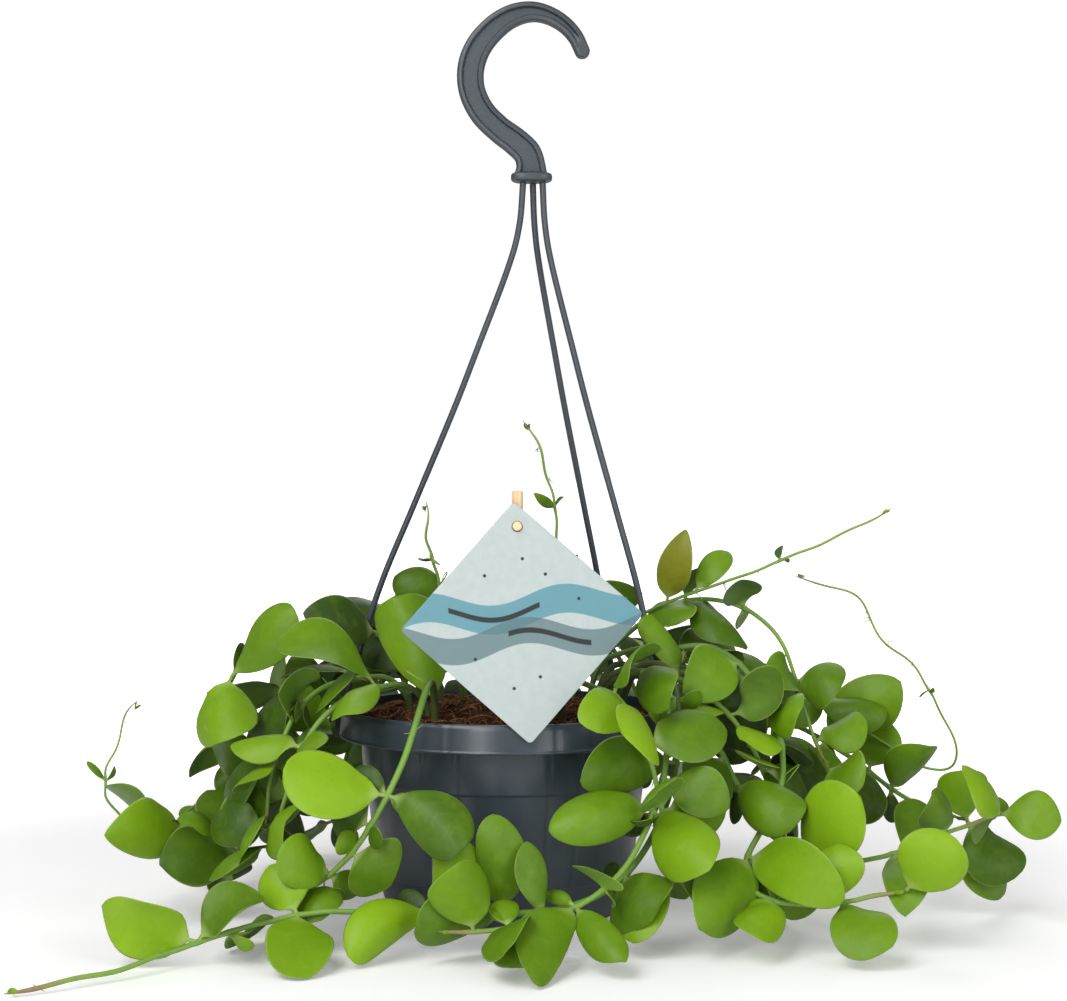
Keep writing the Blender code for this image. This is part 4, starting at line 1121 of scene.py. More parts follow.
@dataclass
class Soil(Piece):
    """The soil: a domed, lumpy, fibrous top on a filled body, with loose chips and fibres on it."""

    radius: float = 71.3
    edge_height: float = 86.0
    rise: float = 7.0
    lump: float = 0.9
    chips: int = 900
    fibres: int = 420
    around: int = 220
    rows: int = 72
    crumb_share: float = 0.75
    finish: PottingSoil = PottingSoil(
        "potting_soil", (0.022, 0.008, 0.004), (0.115, 0.037, 0.014), (0.3, 0.17, 0.08)
    )
    chip_finish: PottingSoil = PottingSoil(
        "bark_chip", (0.04, 0.014, 0.006), (0.17, 0.06, 0.022), (0.36, 0.2, 0.1)
    )
    fibre_finish: PottingSoil = PottingSoil(
        "coir_fibre", (0.2, 0.085, 0.03), (0.42, 0.24, 0.1), (0.6, 0.44, 0.26)
    )

    BODY_RINGS = [(52.0, 2.8), (55.8, 19.0), (62.9, 78.0), (71.3, 82.0)]
    CHIP_SIZES = [(0.7, 2.6), (0.5, 1.3), (0.25, 0.7)]
    FIBRE_LENGTHS = (4, 13)
    FIBRE_BENDS = (-1.2, 1.2)
    FIBRE_LIFTS = (0.2, 2.6)
    FIBRE_RADII = (0.1, 0.24)

    def height(self, x: Array, y: Array) -> Array:
        """The solid's top: a parabolic dome plus products of sines."""
        dome = self.rise * np.clip(1 - (x**2 + y**2) / self.radius**2, 0, 1)
        lumps = np.sin(x / 9.0 + 1.3) * np.sin(y / 8.0 + 0.4) + 0.6 * np.sin(x / 5.1 - y / 6.3)
        return self.edge_height + dome + self.lump * lumps

    def crumb(self, x: Array, y: Array) -> Array:
        """Fine crumbs: a sum of sines in ten seeded directions, each finer and lower than the last."""
        draw = np.random.default_rng(7)
        total = np.zeros_like(x)
        for k in range(10):
            turn = draw.uniform(0, 2 * math.pi)
            wave = 0.35 + 0.16 * k
            phase = draw.uniform(0, 6)
            along = x * math.cos(turn) + y * math.sin(turn)
            bent = along * wave + phase + 1.7 * np.sin(0.31 * wave * (x - y) + k)
            total += np.sin(bent) * 0.42 / (1 + 0.18 * k)
        return total

    def build(self) -> None:
        """Builds the body, then scatters chips and fibres over its top."""
        turns = 2 * math.pi * np.arange(self.around) / self.around
        reach = np.linspace(self.radius, 1.0, self.rows)
        x = reach[:, None] * np.cos(turns)[None]
        y = reach[:, None] * np.sin(turns)[None]
        fade = smoothstep(self.radius - reach, 0, 3)[:, None]
        z = self.height(x, y) + self.crumb(x, y) * fade * self.crumb_share
        top = np.stack([x, y, z], axis=-1)
        below = []
        for radius, height in self.BODY_RINGS:
            ring = [radius * np.cos(turns), radius * np.sin(turns), np.full(self.around, height)]
            below.append(np.stack(ring, axis=-1))
        shell = Shell.from_rings(np.concatenate([np.array(below), top])).outward()
        self.fit(shell.to_object("soil_body", self.finish.material(), 60), "potting_soil", "soil")
        chips = self.scatter_chips().to_object("soil_chips", self.chip_finish.material(), 30)
        self.fit(chips, "potting_soil")
        fibres = self.scatter_fibres().to_object("soil_fibres", self.fibre_finish.material())
        self.fit(fibres, "potting_soil")

    def scatter_chips(self) -> Shell:
        """Small flat bits of bark: octahedra stretched three ways, turned at random and half sunk."""
        draw = np.random.default_rng(11)
        n = self.chips
        reach = (self.radius - 4) * np.sqrt(draw.uniform(0, 1, n))
        turn = draw.uniform(0, 2 * math.pi, n)
        x, y = reach * np.cos(turn), reach * np.sin(turn)
        centre = np.stack([x, y, self.height(x, y) + draw.uniform(0.0, 0.9, n)], axis=1)
        size = np.stack([draw.uniform(least, most, n) for least, most in self.CHIP_SIZES], axis=1)
        spin = unit(draw.normal(size=(n, 3)) * (1, 1, 0.35))
        side = unit(np.cross(spin, draw.normal(size=(n, 3))))
        up = np.cross(spin, side)
        corners = np.array([(1, 0, 0), (0, 1, 0), (-1, 0, 0), (0, -1, 0), (0, 0, 1), (0, 0, -1)], float)
        corners = corners[None] * size[:, None] * draw.uniform(0.7, 1.2, (n, 6, 1))
        points = centre[:, None] + (
            corners[..., :1] * spin[:, None]
            + corners[..., 1:2] * side[:, None]
            + corners[..., 2:] * up[:, None]
        )
        above = [(0, 1, 4), (1, 2, 4), (2, 3, 4), (3, 0, 4)]
        below = [(1, 0, 5), (2, 1, 5), (3, 2, 5), (0, 3, 5)]
        octahedron = np.array(above + below)
        faces = (octahedron[None] + 6 * np.arange(n)[:, None, None]).reshape(-1, 3).tolist()
        return Shell(points.reshape(-1, 3), faces).outward()

    def scatter_fibres(self) -> Shell:
        """Coir fibres: thin bent tubes that lie on the soil and lift a little at their middle."""
        draw = np.random.default_rng(13)
        shells = []
        for _ in range(self.fibres):
            reach = (self.radius - 8) * math.sqrt(draw.uniform())
            turn, heading = draw.uniform(0, 2 * math.pi), draw.uniform(0, 2 * math.pi)
            size, bend = draw.uniform(*self.FIBRE_LENGTHS), draw.uniform(*self.FIBRE_BENDS)
            share = np.linspace(-0.5, 0.5, 7)
            angle = heading + bend * share
            x = reach * math.cos(turn) + size * share * np.cos(angle)
            y = reach * math.sin(turn) + size * share * np.sin(angle)
            x, y = (c * min(1.0, (self.radius - 1.5) / float(np.hypot(x, y).max())) for c in (x, y))
            lift = draw.uniform(*self.FIBRE_LIFTS) * (1 - 4 * share**2)
            line = np.stack([x, y, self.height(x, y) + 0.3 + lift], axis=1)
            radii = np.full(len(line), draw.uniform(*self.FIBRE_RADII))
            shells.append(Shell.from_rings(swept(line, radii, 5)))
        return Shell.joined(shells).outward()


@dataclass
class Hanger(Piece):
    """The hanger: a hook of channelled section on a flange, and three round arms with clips."""

    depth: float = 6.5
    web: float = 2.6
    border: float = 2.9
    flare: float = 4.0
    solid_end: float = 7.0
    run_out: float = 5.0
    drop: float = 0.26
    flange: Point = (16.5, 12.0, 4.6)
    flange_centre: Point = (12.0, 1.0, 331.0)
    flange_swell: Point = (1.1, 0.0, 0.3)
    flange_power: float = 0.6
    gap: float = 0.3
    arm_radius: float = 1.4
    arm_end_radius: float = 74.2
    arm_end_height: float = 94.3
    clip_width: float = 8.0
    finish: SatinPlastic = SatinPlastic(
        "hanger_plastic", (0.033, 0.043, 0.052), (0.056, 0.07, 0.082), 0.32, 0.5
    )

    HOOK_LINE = [
        (11.8, 331.5), (11.6, 337.0), (9.8, 342.4), (4.4, 347.6), (-2.8, 353.0), (-9.9, 360.1),
        (-14.3, 368.4), (-15.6, 376.5), (-14.4, 384.4), (-10.5, 392.2), (-3.5, 399.6), (4.0, 404.1),
        (12.0, 405.7), (19.5, 404.2), (26.5, 400.2), (31.7, 394.6), (35.0, 387.8),
    ]
    HOOK_WIDTHS = [
        12.6, 12.6, 12.6, 12.4, 11.9, 11.9, 12.0, 12.1, 12.0, 11.6, 10.9, 9.9, 8.8, 7.9, 7.3, 6.9, 6.7,
    ]
    ARM_CURVE = [
        (0, 0), (0.08, 0.02), (0.16, 0.08), (0.32, 0.255), (0.44, 0.39), (0.63, 0.62), (0.79, 0.81), (1, 1),
    ]
    ARMS = {
        "arm_left": (172, (8.2, -0.5)),
        "arm_right": (340, (17.0, -0.5)),
        "arm_back": (46, (12.6, 4.2)),
    }
    CLIP_PROFILE = [
        (72.4, 79.1), (72.4, 76.9), (78.0, 76.9), (78.0, 93.4), (76.6, 95.0), (70.4, 95.0),
        (69.3, 93.9), (69.3, 88.6), (71.4, 88.6), (71.4, 92.5), (75.5, 92.5), (75.5, 79.1),
    ]
    CLIP_SLICES = [(-1.0, 0.35), (-0.96, 0.1), (-0.88, 0.0), (0.88, 0.0), (0.96, 0.1), (1.0, 0.35)]
    BORDER_SHARES = [0, 0.02, 0.07, 0.16, 0.28, 0.45, 0.62, 0.78, 0.86, 0.92, 0.98, 1.04, 1.12]

    def build(self) -> None:
        """Builds the hook and the three arms."""
        plastic = self.finish.material()
        hook = Shell.joined([self.hook(), self.flange_bar()])
        self.fit(hook.to_object("hook_and_flange", plastic, 50), "hanger_plastic", "hook")
        for name, (azimuth, start) in self.ARMS.items():
            arm = Shell.joined([self.arm(azimuth, start), self.clip(azimuth)])
            self.fit(arm.to_object(name + "_rod", plastic, 40), "hanger_plastic", name)

    def hook(self) -> Shell:
        """The hook swept along its line.

        The section runs a from -w/2 to w/2 in front and back again behind. Its depth is the web's, raised
        to the full depth within a border of each edge, and drops by a quarter ellipse at the edge itself.
        The line is lowered a little, so that this finer curve doesn't rise over the solid's chords.
        """
        line = np.array([(x, 0.0, z - self.drop) for x, z in self.HOOK_LINE])
        fine = smooth_curve(line, 0.8)
        along, marks = lengths(fine), lengths(line)
        widths = np.interp(along / along[-1], marks / marks[-1], self.HOOK_WIDTHS)
        tangent = unit(fine[-1] - fine[-2])
        cap = widths[-1] / 2 - 0.35
        turn = np.linspace(0, math.pi / 2, 9)[1:]
        fine = np.vstack([fine, fine[-1] + tangent * (cap * np.sin(turn))[:, None]])
        widths = np.concatenate([widths, widths[-1] * np.maximum(np.cos(turn), 0.02)])
        widths = widths + self.flare * np.exp(-lengths(fine) / 2.6)
        across_line = unit(np.gradient(fine, axis=0))
        across = np.stack([across_line[:, 2], np.zeros(len(fine)), -across_line[:, 0]], axis=1)
        half = widths[:, None] / 2
        near = self.border * np.array(self.BORDER_SHARES)
        middle = np.linspace(0, 1, 7)[1:-1]
        edge_row = np.minimum(near[None], half * 0.98)
        left = edge_row - half
        web_row = left[:, -1:] + (-2 * left[:, -1:]) * middle[None]
        a = np.concatenate([left, web_row, -left[:, ::-1]], axis=1)
        inset = half - np.abs(a)
        raised = 1 - smoothstep(inset, self.border * 0.8, self.border * 1.05)
        from_end = (lengths(fine)[-1] - lengths(fine))[:, None]
        raised = np.maximum(raised, 1 - smoothstep(from_end, self.solid_end, self.solid_end + self.run_out))
        edge = self.border * 0.55
        drop = 1 - np.sqrt(np.clip(1 - np.clip(1 - inset / edge, 0, 1) ** 2, 0, 1))
        b = self.web / 2 + (self.depth - self.web) / 2 * raised
        b = np.maximum(b - edge * drop, 0.02)
        front = fine[:, None] + across[:, None] * a[..., None] + np.stack([0 * b, -b, 0 * b], axis=-1)
        back = fine[:, None] + across[:, None] * a[..., None] + np.stack([0 * b, b, 0 * b], axis=-1)
        return Shell.from_rings(np.concatenate([front, back[:, ::-1]], axis=1)).outward()

    def flange_bar(self) -> Shell:
        """The flange: a rounded bar, a sphere whose sines and cosines are raised to a power under one."""
        around = 48
        rows = np.linspace(-math.pi / 2, math.pi / 2, 25)[1:-1]
        turns = 2 * math.pi * np.arange(around) / around

        def bent(value: Array) -> Array:
            """A sine or cosine raised to the power, sign kept."""
            return np.sign(value) * np.abs(value) ** self.flange_power

        size = np.array(self.flange) / 2 + self.flange_swell
        x = size[0] * bent(np.cos(rows))[:, None] * bent(np.cos(turns))[None]
        y = size[1] * bent(np.cos(rows))[:, None] * bent(np.sin(turns))[None]
        z = np.repeat((size[2] * bent(np.sin(rows)))[:, None], around, axis=1)
        return Shell.from_rings(np.stack([x, y, z], axis=-1) + np.array(self.flange_centre)).outward()

    def arm_route(self, azimuth: float, start: tuple[float, float]) -> list[tuple[float, ...]]:
        """Points of an arm: shares of the way down and out, from under the flange to the rim."""
        end = compass(azimuth, self.arm_end_radius)
        top = np.array((*start, self.flange_centre[2] - self.flange[2] / 2 - self.gap))
        points = []
        for drop, out in self.ARM_CURVE:
            flat = top[:2] + (end - top[:2]) * out
            points.append((*flat, top[2] + (self.arm_end_height - top[2]) * drop))
        return points

    def arm(self, azimuth: float, start: tuple[float, float]) -> Shell:
        """One arm: a round rod bowed out and down to the rim, a little wider where it starts."""
        line = smooth_curve(self.arm_route(azimuth, start), 3.0)
        share = np.linspace(0, 1, len(line))
        radii = self.arm_radius * (1 + 0.06 * np.exp(-share / 0.03))
        return Shell.from_rings(swept(line, radii, 20)).outward()

    def clip(self, azimuth: float) -> Shell:
        """The clip: its profile carried across its width, its outer slices drawn in to round the edges."""
        corners = [(*corner, 0.5) for corner in self.CLIP_PROFILE]
        profile = rounded_profile(corners + corners[:1], 3)[1:]
        centre = profile.mean(axis=0)
        tangents = np.roll(profile, -1, axis=0) - np.roll(profile, 1, axis=0)
        inward = unit(np.stack([-tangents[:, 1], tangents[:, 0]], axis=1))
        side = np.sign(np.sum(inward * (centre - profile), axis=1).mean())
        rows = []
        for across, inset in self.CLIP_SLICES:
            moved = profile + inward * inset * side
            spread = np.full(len(moved), across * self.clip_width / 2)
            rows.append(np.stack([moved[:, 0], spread, moved[:, 1]], axis=1))
        cos, sin = compass(azimuth, 1.0)
        spin = np.array([(cos, -sin, 0), (sin, cos, 0), (0, 0, 1)])
        count = len(profile)
        flat = [tuple(range(count)), tuple(range((len(rows) - 1) * count, len(rows) * count))[::-1]]
        quads = ring_quads(len(rows), count)[:, [1, 0, 3, 2]]
        return Shell((np.array(rows) @ spin.T).reshape(-1, 3), quads.tolist() + flat)


@dataclass
class CardOnStick(Piece):
    """The card, stood on one corner and leant back, and the dowel with its short peg."""

    side: float = 72.5
    thickness: float = 0.8
    corner: float = 2.0
    centre: Point = (8.0, -68.5, 135.0)
    lean: float = 9.4
    turn: float = 49.0
    hole_up: float = 40.5
    hole_radius: float = 2.4
    stick_radius: float = 2.5
    stick_place: tuple[float, float] = (6.0, -56.0)
    stick_bottom: float = 62.0
    stick_top: float = 190.0
    peg_radius: float = 2.0
    peg_length: float = 7.5
    card_finish: PrintedCard = PrintedCard()
    wood: PlainWood = PlainWood()

    def axes(self) -> tuple[Array, Array, Array]:
        """The card's right, up and back directions."""
        lean = math.radians(self.lean)
        right = np.array((1.0, 0.0, 0.0))
        up = np.array((0.0, math.sin(lean), math.cos(lean)))
        return right, up, -np.cross(right, up)

    def build(self) -> None:
        """Builds the card and the stick with its peg."""
        self.fit(self.card(), "printed_card", "card")
        wood = self.wood.material()
        self.fit(self.stick().to_object("stick_and_peg", wood, 40), "light_wood", "stick")

    def card(self) -> bpy.types.Object:
        """The card as a rounded square with a thin soft edge and a round hole.

        The grid runs from the hole's circle out to the outline along the rays from the hole's middle.
        """
        steps = 14
        right, up, back = self.axes()
        spin = math.radians(self.turn)
        hole = np.array((self.stick_place[0] - self.centre[0], self.hole_up))
        edge = self.rounded_square()
        around = len(edge)
        edge = edge @ np.array(((math.cos(spin), math.sin(spin)), (-math.sin(spin), math.cos(spin))))
        order = np.argsort(np.arctan2(edge[:, 1] - hole[1], edge[:, 0] - hole[0]))
        edge = edge[order]
        angle = np.arctan2(edge[:, 1] - hole[1], edge[:, 0] - hole[0])
        ring = hole + self.hole_radius * np.stack([np.cos(angle), np.sin(angle)], axis=1)
        share = np.linspace(0, 1, steps)[:, None, None]
        flat = ring[None] + (edge - ring)[None] * share
        half = self.thickness / 2
        depth = np.full((steps, around), half)
        depth[-1] = half * 0.55
        outer = edge * (1 + 0.1 / np.maximum(np.linalg.norm(edge, axis=1, keepdims=True), 1))
        centre = np.array(self.centre)

        def placed(grid: Array, off: Array) -> Array:
            """Grid points on the card, a depth behind its middle."""
            return centre + grid[..., :1] * right + grid[..., 1:] * up + off[..., None] * back

        front = placed(flat, -depth)
        rear = placed(flat, depth)
        rim = placed(outer[None], np.zeros((1, around)))
        rows = np.concatenate([front, rim, rear[::-1]])
        printed = np.zeros(rows.shape[:2])
        printed[: len(front)] = 1.0
        quads = ring_quads(len(rows), around, closed=True)
        shell = Shell(rows.reshape(-1, 3), quads.tolist(), {"printed": printed.reshape(-1)}).outward()
        made = shell.to_object("card", self.card_finish.material(), 40)
        self.add_uv(made, centre, right, up)
        return made

    def rounded_square(self) -> Array:
        """The square's outline: each corner's arc of ten spans, then eighteen even spans along the side."""
        half, radius = self.side / 2, self.corner
        rows = []
        for corner in range(4):
            middle = math.radians(45 + 90 * corner)
            centre = np.array((math.cos(middle), math.sin(middle))) * math.sqrt(2) * (half - radius)
            turns = middle + np.radians(np.linspace(-45, 45, 11))
            rows.append(centre + radius * np.stack([np.cos(turns), np.sin(turns)], axis=1))
            start = rows[-1][-1]
            ahead = np.array((-math.sin(middle + math.pi / 4), math.cos(middle + math.pi / 4)))
            share = np.linspace(0, 1, 19)[1:-1, None]
            rows.append(start + ahead * 2 * (half - radius) * share)
        return np.vstack(rows)

    def add_uv(self, made: bpy.types.Object, centre: Array, right: Array, up: Array) -> None:
        """A UV map whose U runs right and V up across the whole diamond, 0 to 1."""
        mesh = made.data
        spin = math.radians(self.turn - 45)
        off = points_of(mesh) - centre
        x, y = off @ right, off @ up
        u = (x * math.cos(spin) + y * math.sin(spin)) / (self.side * math.sqrt(2)) + 0.5
        v = (-x * math.sin(spin) + y * math.cos(spin)) / (self.side * math.sqrt(2)) + 0.5
        corner = np.empty(len(mesh.loops), np.int32)
        mesh.loops.foreach_get("vertex_index", corner)
        layer = mesh.uv_layers.new(name="UVMap")
        pairs = np.stack([u[corner], v[corner]], axis=1)
        layer.data.foreach_set("uv", pairs.astype(np.float32).reshape(-1))

    def stick(self) -> Shell:
        """The dowel with chamfered ends, and the peg through the card's hole with a domed face."""
        x, y = self.stick_place
        low, high = self.stick_bottom, self.stick_top
        middle = np.linspace(low + 4, high - 4, 24)
        heights = np.array([low, low + 0.5, *middle, high - 0.8, high - 0.25, high])
        radii = np.full(len(heights), self.stick_radius)
        radii[[0, -2, -1]] -= (0.5, 0.25, 0.7)
        line = np.stack([np.full(len(heights), x), np.full(len(heights), y), heights], axis=1)
        dowel = Shell.from_rings(swept(line, radii, 32))
        _, up, back = self.axes()
        hole = np.array(self.centre) + up * self.hole_up
        hole[0] = x
        off = np.array([self.peg_length - 2, 0.0, -1.6, -1.95, -2.15])
        peg = hole + back * off[:, None]
        peg_radii = self.peg_radius * np.array([1.0, 1.0, 1.0, 0.9, 0.62])
        return Shell.joined([dowel.outward(), Shell.from_rings(swept(peg, peg_radii, 24)).outward()])


@dataclass(frozen=True)
class BladeHabit:
    """How one leaf is cut and bent.

    base and end are the powers of its outline. roll is the angle that its edge is rolled down through,
    crease the slope of its fold at the midrib, bow the extra rise of its middle, sweep its bend to one
    side, cant its turn about its length, twist its further turn towards the tip, wave the height of its
    edges' waves as a share of its width, and phase where the waves start.
    """

    base: float
    end: float
    roll: float
    crease: float
    bow: float
    sweep: float
    cant: float
    twist: float
    wave: float
    phase: float

    @staticmethod
    def drawn(seed: str) -> "BladeHabit":
        """The habit of the leaf with this seed: most leaves roll down at their edges, about a quarter up."""
        draw = random.Random(seed)
        return BladeHabit(
            base=draw.uniform(0.62, 0.98),
            end=draw.uniform(0.48, 0.82),
            roll=draw.choice((1.0, 1.0, 1.0, -0.8)) * draw.uniform(0.1, 1.1),
            crease=max(0.0, draw.uniform(-0.1, 0.3)),
            bow=draw.uniform(-0.05, 0.11),
            sweep=draw.uniform(-0.08, 0.08),
            cant=math.radians(draw.uniform(-24, 24)),
            twist=math.radians(draw.uniform(-34, 34)),
            wave=draw.uniform(0.0, 0.05),
            phase=draw.uniform(0, 2 * math.pi),
        )


@dataclass
class Foliage(Piece):
    """Every leafy stem, each as its leaves and its stem, worked out again by the rules of its solid."""

    stem_root: float = 80.0
    clears_soil: float = 97.5
    spare: float = 1.2
    station: float = 14.0
    curve_step: float = 4.0
    floor_clearance: float = 0.4
    petiole_radius: float = 0.75
    petiole_share: float = 0.10
    arch: float = 0.10
    tries: int = 60
    found_within: float = 0.04
    leaf_rows: int = 22
    leaf_around: int = 18
    partner_share: float = 0.8
    partner_longest: float = 20.0
    whisker_share: float = 0.45
    box_spare: float = 2.5
    pot_spare: float = 3.0
    grows_out: float = 9.0
    arm_step: float = 14.0
    arm_spare: float = 0.4
    clip_guard: float = 4.4
    stick_guard: float = 3.0
    stick_step: int = 4
    rounds: int = 60
    push_share: float = 0.6
    evening: float = 0.25
    homing: float = 0.02
    shift_share: float = 1.7
    upright_within: float = 0.6
    inside_collar: float = 4.0
    below_rim: float = 2.5
    tip_back: float = 5.5
    tendril_chance: float = 0.1
    stem_step: float = 2.2
    stem_around: int = 10
    swelling: float = 0.3
    swelling_reach: float = 1.8
    leaf: WaxyLeaf = WaxyLeaf()
    stem: GreenStem = GreenStem()

    AGES = {("right_thin_up", "0"): LeafAge.YOUNG}
    CLIP_GUARD_RADII = (70, 74, 78)
    CLIP_GUARD_HEIGHTS = (78, 83, 88, 93)
    CARD_ZONE = ((-58.0, -1000.0, 62.0), (74.0, -52.0, 192.0))
    PARTNER_SIZES = (0.45, 0.75)
    TIP_LENGTHS = (3.2, 5.2)
    TIP_WIDTHS = (1.2, 2.2)
    WHISKER_LENGTHS = (2.0, 6.5)
    WHISKER_CURLS = (-1.6, 1.6)
    TENDRIL_LENGTHS = (16, 30)
    TENDRIL_CURLS = (2.0, 7.5)
    SPRAY_LENGTHS = (30, 40)
    SPRAY_WIDTHS = (22, 31)
    SPRAY_TILTS = (20, 60)

    def build(self, pot: Pot, hanger: Hanger, card: CardOnStick) -> None:
        """Settles every stem in order, finds each leaf in its solid and builds both finely.

        Args:
            pot: Whose sizes keep the stems out of the pot.
            hanger: Whose arms and clips the stems pass.
            card: Whose stick the stems pass.
        """
        self.pot = pot
        vines = VINES + [self.spray_vine(spray) for spray in SPRAYS]
        placed, radii = self.obstacles(hanger, card)
        leaf_finish, stem_finish = self.leaf.material(), self.stem.material()
        for vine in vines:
            stations = self.settled(vine, placed, radii)
            line = evenly(stations, self.curve_step)
            placed = np.vstack([placed, line])
            radii = np.concatenate([radii, vine.radius * np.linspace(1.0, 0.6, len(line))])
            self.grow(vine, stations, leaf_finish, stem_finish)

    def grow(
        self,
        vine: Vine,
        stations: Array,
        leaf_finish: bpy.types.Material,
        stem_finish: bpy.types.Material,
    ) -> None:
        """Builds one vine's stem and leaves in place of its node.

        A leaf's turn is the one whose tip is a point of the solid. Most leaves get the small partner that
        grows opposite them, mirrored in the stem.

        Args:
            vine: The stem and its leaves.
            stations: Where the stem was settled.
            leaf_finish: The leaves' material.
            stem_finish: The stem's material.
        """
        solid = points_of(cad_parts[vine.name].data)
        along = lengths(stations) / lengths(stations)[-1]
        tangents = unit(np.gradient(stations, axis=0))
        blades, used = [], []
        for index, leaf in enumerate(vine.leaves):
            rank = int(np.argmin(np.abs(along - leaf[0])))
            foot = stations[rank]
            for tip, width, facing in self.leaf_tries(vine.name, index, foot, leaf):
                if np.min(np.linalg.norm(solid - tip, axis=1)) < self.found_within:
                    blades.append(self.blade(vine, str(index), foot, tip, width, facing))
                    blades += self.partner(vine, index, foot, tip, width, facing, tangents[rank])
                    used.append(rank)
                    break
            else:
                log.info("%s leaf %d has no place", vine.name, index)
        blades += self.tip_pair(vine, stations)
        pieces = [self.stem_shell(vine, stations, used)] + self.whiskers(vine, stations)
        stem = Shell.joined(pieces).to_object(vine.name + "_stem", stem_finish)
        self.fit(stem, "foliage", vine.name)
        leaves = Shell.joined(blades).to_object(vine.name + "_leaves", leaf_finish)
        self.fit(leaves, "foliage", vine.name)

    def partner(
        self,
        vine: Vine,
        index: int,
        foot: Array,
        tip: Array,
        width: float,
        facing: Array,
        tangent: Array,
    ) -> list[Shell]:
        """The small leaf opposite a leaf: its reach r mirrored in the tangent T, 2(r.T)T - r, shortened."""
        draw = random.Random(f"partner {vine.name} {index}")
        reach = tip - foot
        size = float(np.linalg.norm(reach)) * draw.uniform(*self.PARTNER_SIZES)
        size = min(size, self.partner_longest * draw.uniform(0.8, 1.0))
        away = unit(2 * tangent * np.dot(reach, tangent) - reach)
        away = unit(away + 0.4 * random_way(draw))
        end = foot + away * size
        if draw.random() > self.partner_share or not self.has_room(foot, end):
            return []
        ratio = size / float(np.linalg.norm(reach))
        turned_face = unit(facing + 0.7 * random_way(draw))
        return [self.blade(vine, f"partner {index}", foot, end, width * ratio * 0.85, turned_face)]

    def has_room(self, foot: Array, end: Array) -> bool:
        """Whether a small leaf's tip is inside the plant's box, off the floor, and clear of pot and card."""
        low, high = box_corners()
        edge = self.box_spare
        inside = bool(np.all(end > low + edge) and np.all(end < high - edge)) and end[2] > edge
        reach = float(np.hypot(end[0], end[1]))
        spare = self.pot_spare
        off_pot = reach > self.pot.collar_radius + spare or end[2] > self.clears_soil + spare
        near, far = self.CARD_ZONE
        before_card = bool(np.all(end > near) and np.all(end < far))
        near_foot = reach < float(np.hypot(foot[0], foot[1])) + self.grows_out
        return inside and off_pot and near_foot and not before_card

    def tip_pair(self, vine: Vine, stations: Array) -> list[Shell]:
        """The two unopened leaves just behind a stem's tip, closed forward along it."""
        draw = random.Random("tip " + vine.name)
        tangent = unit(stations[-1] - stations[-2])
        side = unit(np.cross(tangent, (0.2, 0.1, 0.97)))
        foot = stations[-1] - tangent * self.tip_back
        pair = []
        for hand in (-1, 1):
            way = unit(tangent + side * hand * draw.uniform(0.35, 0.8))
            end = foot + way * draw.uniform(*self.TIP_LENGTHS)
            end[2] = max(end[2], 0.8)
            width = draw.uniform(*self.TIP_WIDTHS)
            pair.append(self.blade(vine, f"tip {hand}", foot, end, width, side))
        return pair

    def whiskers(self, vine: Vine, stations: Array) -> list[Shell]:
        """Thin rootlets at the stem's nodes, and here and there a long curled one.

        A whisker turns in its own plane: its heading at a share s of the way is curl s^1.5, and its points
        are the running sum of its headings.
        """
        draw = random.Random("whisker " + vine.name)
        low, high = box_corners()
        grown = []
        tangents = unit(np.gradient(stations, axis=0))
        for rank in range(3, len(stations) - 1):
            if draw.random() > self.whisker_share:
                continue
            for _ in range(draw.choice((1, 2, 3))):
                long = draw.random() < self.tendril_chance
                size = draw.uniform(*(self.TENDRIL_LENGTHS if long else self.WHISKER_LENGTHS))
                curl = draw.uniform(*(self.TENDRIL_CURLS if long else self.WHISKER_CURLS))
                ahead = unit(tangents[rank] * 0.4 + random_way(draw))
                side = unit(np.cross(ahead, (draw.uniform(-1, 1), draw.uniform(-1, 1), 0.6)))
                share = np.linspace(0, 1, 22 if long else 7)
                turn = curl * share**1.5
                heading = np.cos(turn)[:, None] * ahead + np.sin(turn)[:, None] * side
                heading = heading + 0.12 * np.cross(ahead, side)
                line = stations[rank] + np.cumsum(heading, axis=0) * size / len(share)
                line = np.clip(line, low + 1.0, high - 1.0)
                radii = (0.34 if long else 0.24) * (1 - 0.55 * share)
                rings = swept(line, radii, 6)
                tone = np.full(rings.shape[:2], draw.uniform(0.62, 1.0))
                grown.append(Shell.from_rings(rings, {"age": tone}).outward())
        return grown

    def obstacles(self, hanger: Hanger, card: CardOnStick) -> tuple[Array, Array]:
        """Points and radii of the arms, their clips and the stick, for the stems to pass."""
        lines, clips = [], []
        for azimuth, start in hanger.ARMS.values():
            route = smooth_curve(hanger.arm_route(azimuth, start), self.arm_step)
            lines.append(evenly(route, self.curve_step))
            for radius in self.CLIP_GUARD_RADII:
                for height in self.CLIP_GUARD_HEIGHTS:
                    clips.append((*compass(azimuth, radius), height))
        arms = np.vstack(lines)
        heights = range(int(card.stick_bottom), int(card.stick_top), self.stick_step)
        stick = [(*card.stick_place, height) for height in heights]
        radii = [
            np.full(len(arms), hanger.arm_radius + self.arm_spare),
            np.full(len(clips), self.clip_guard),
            np.full(len(stick), self.stick_guard),
        ]
        return np.vstack([arms, clips, stick]), np.concatenate(radii)

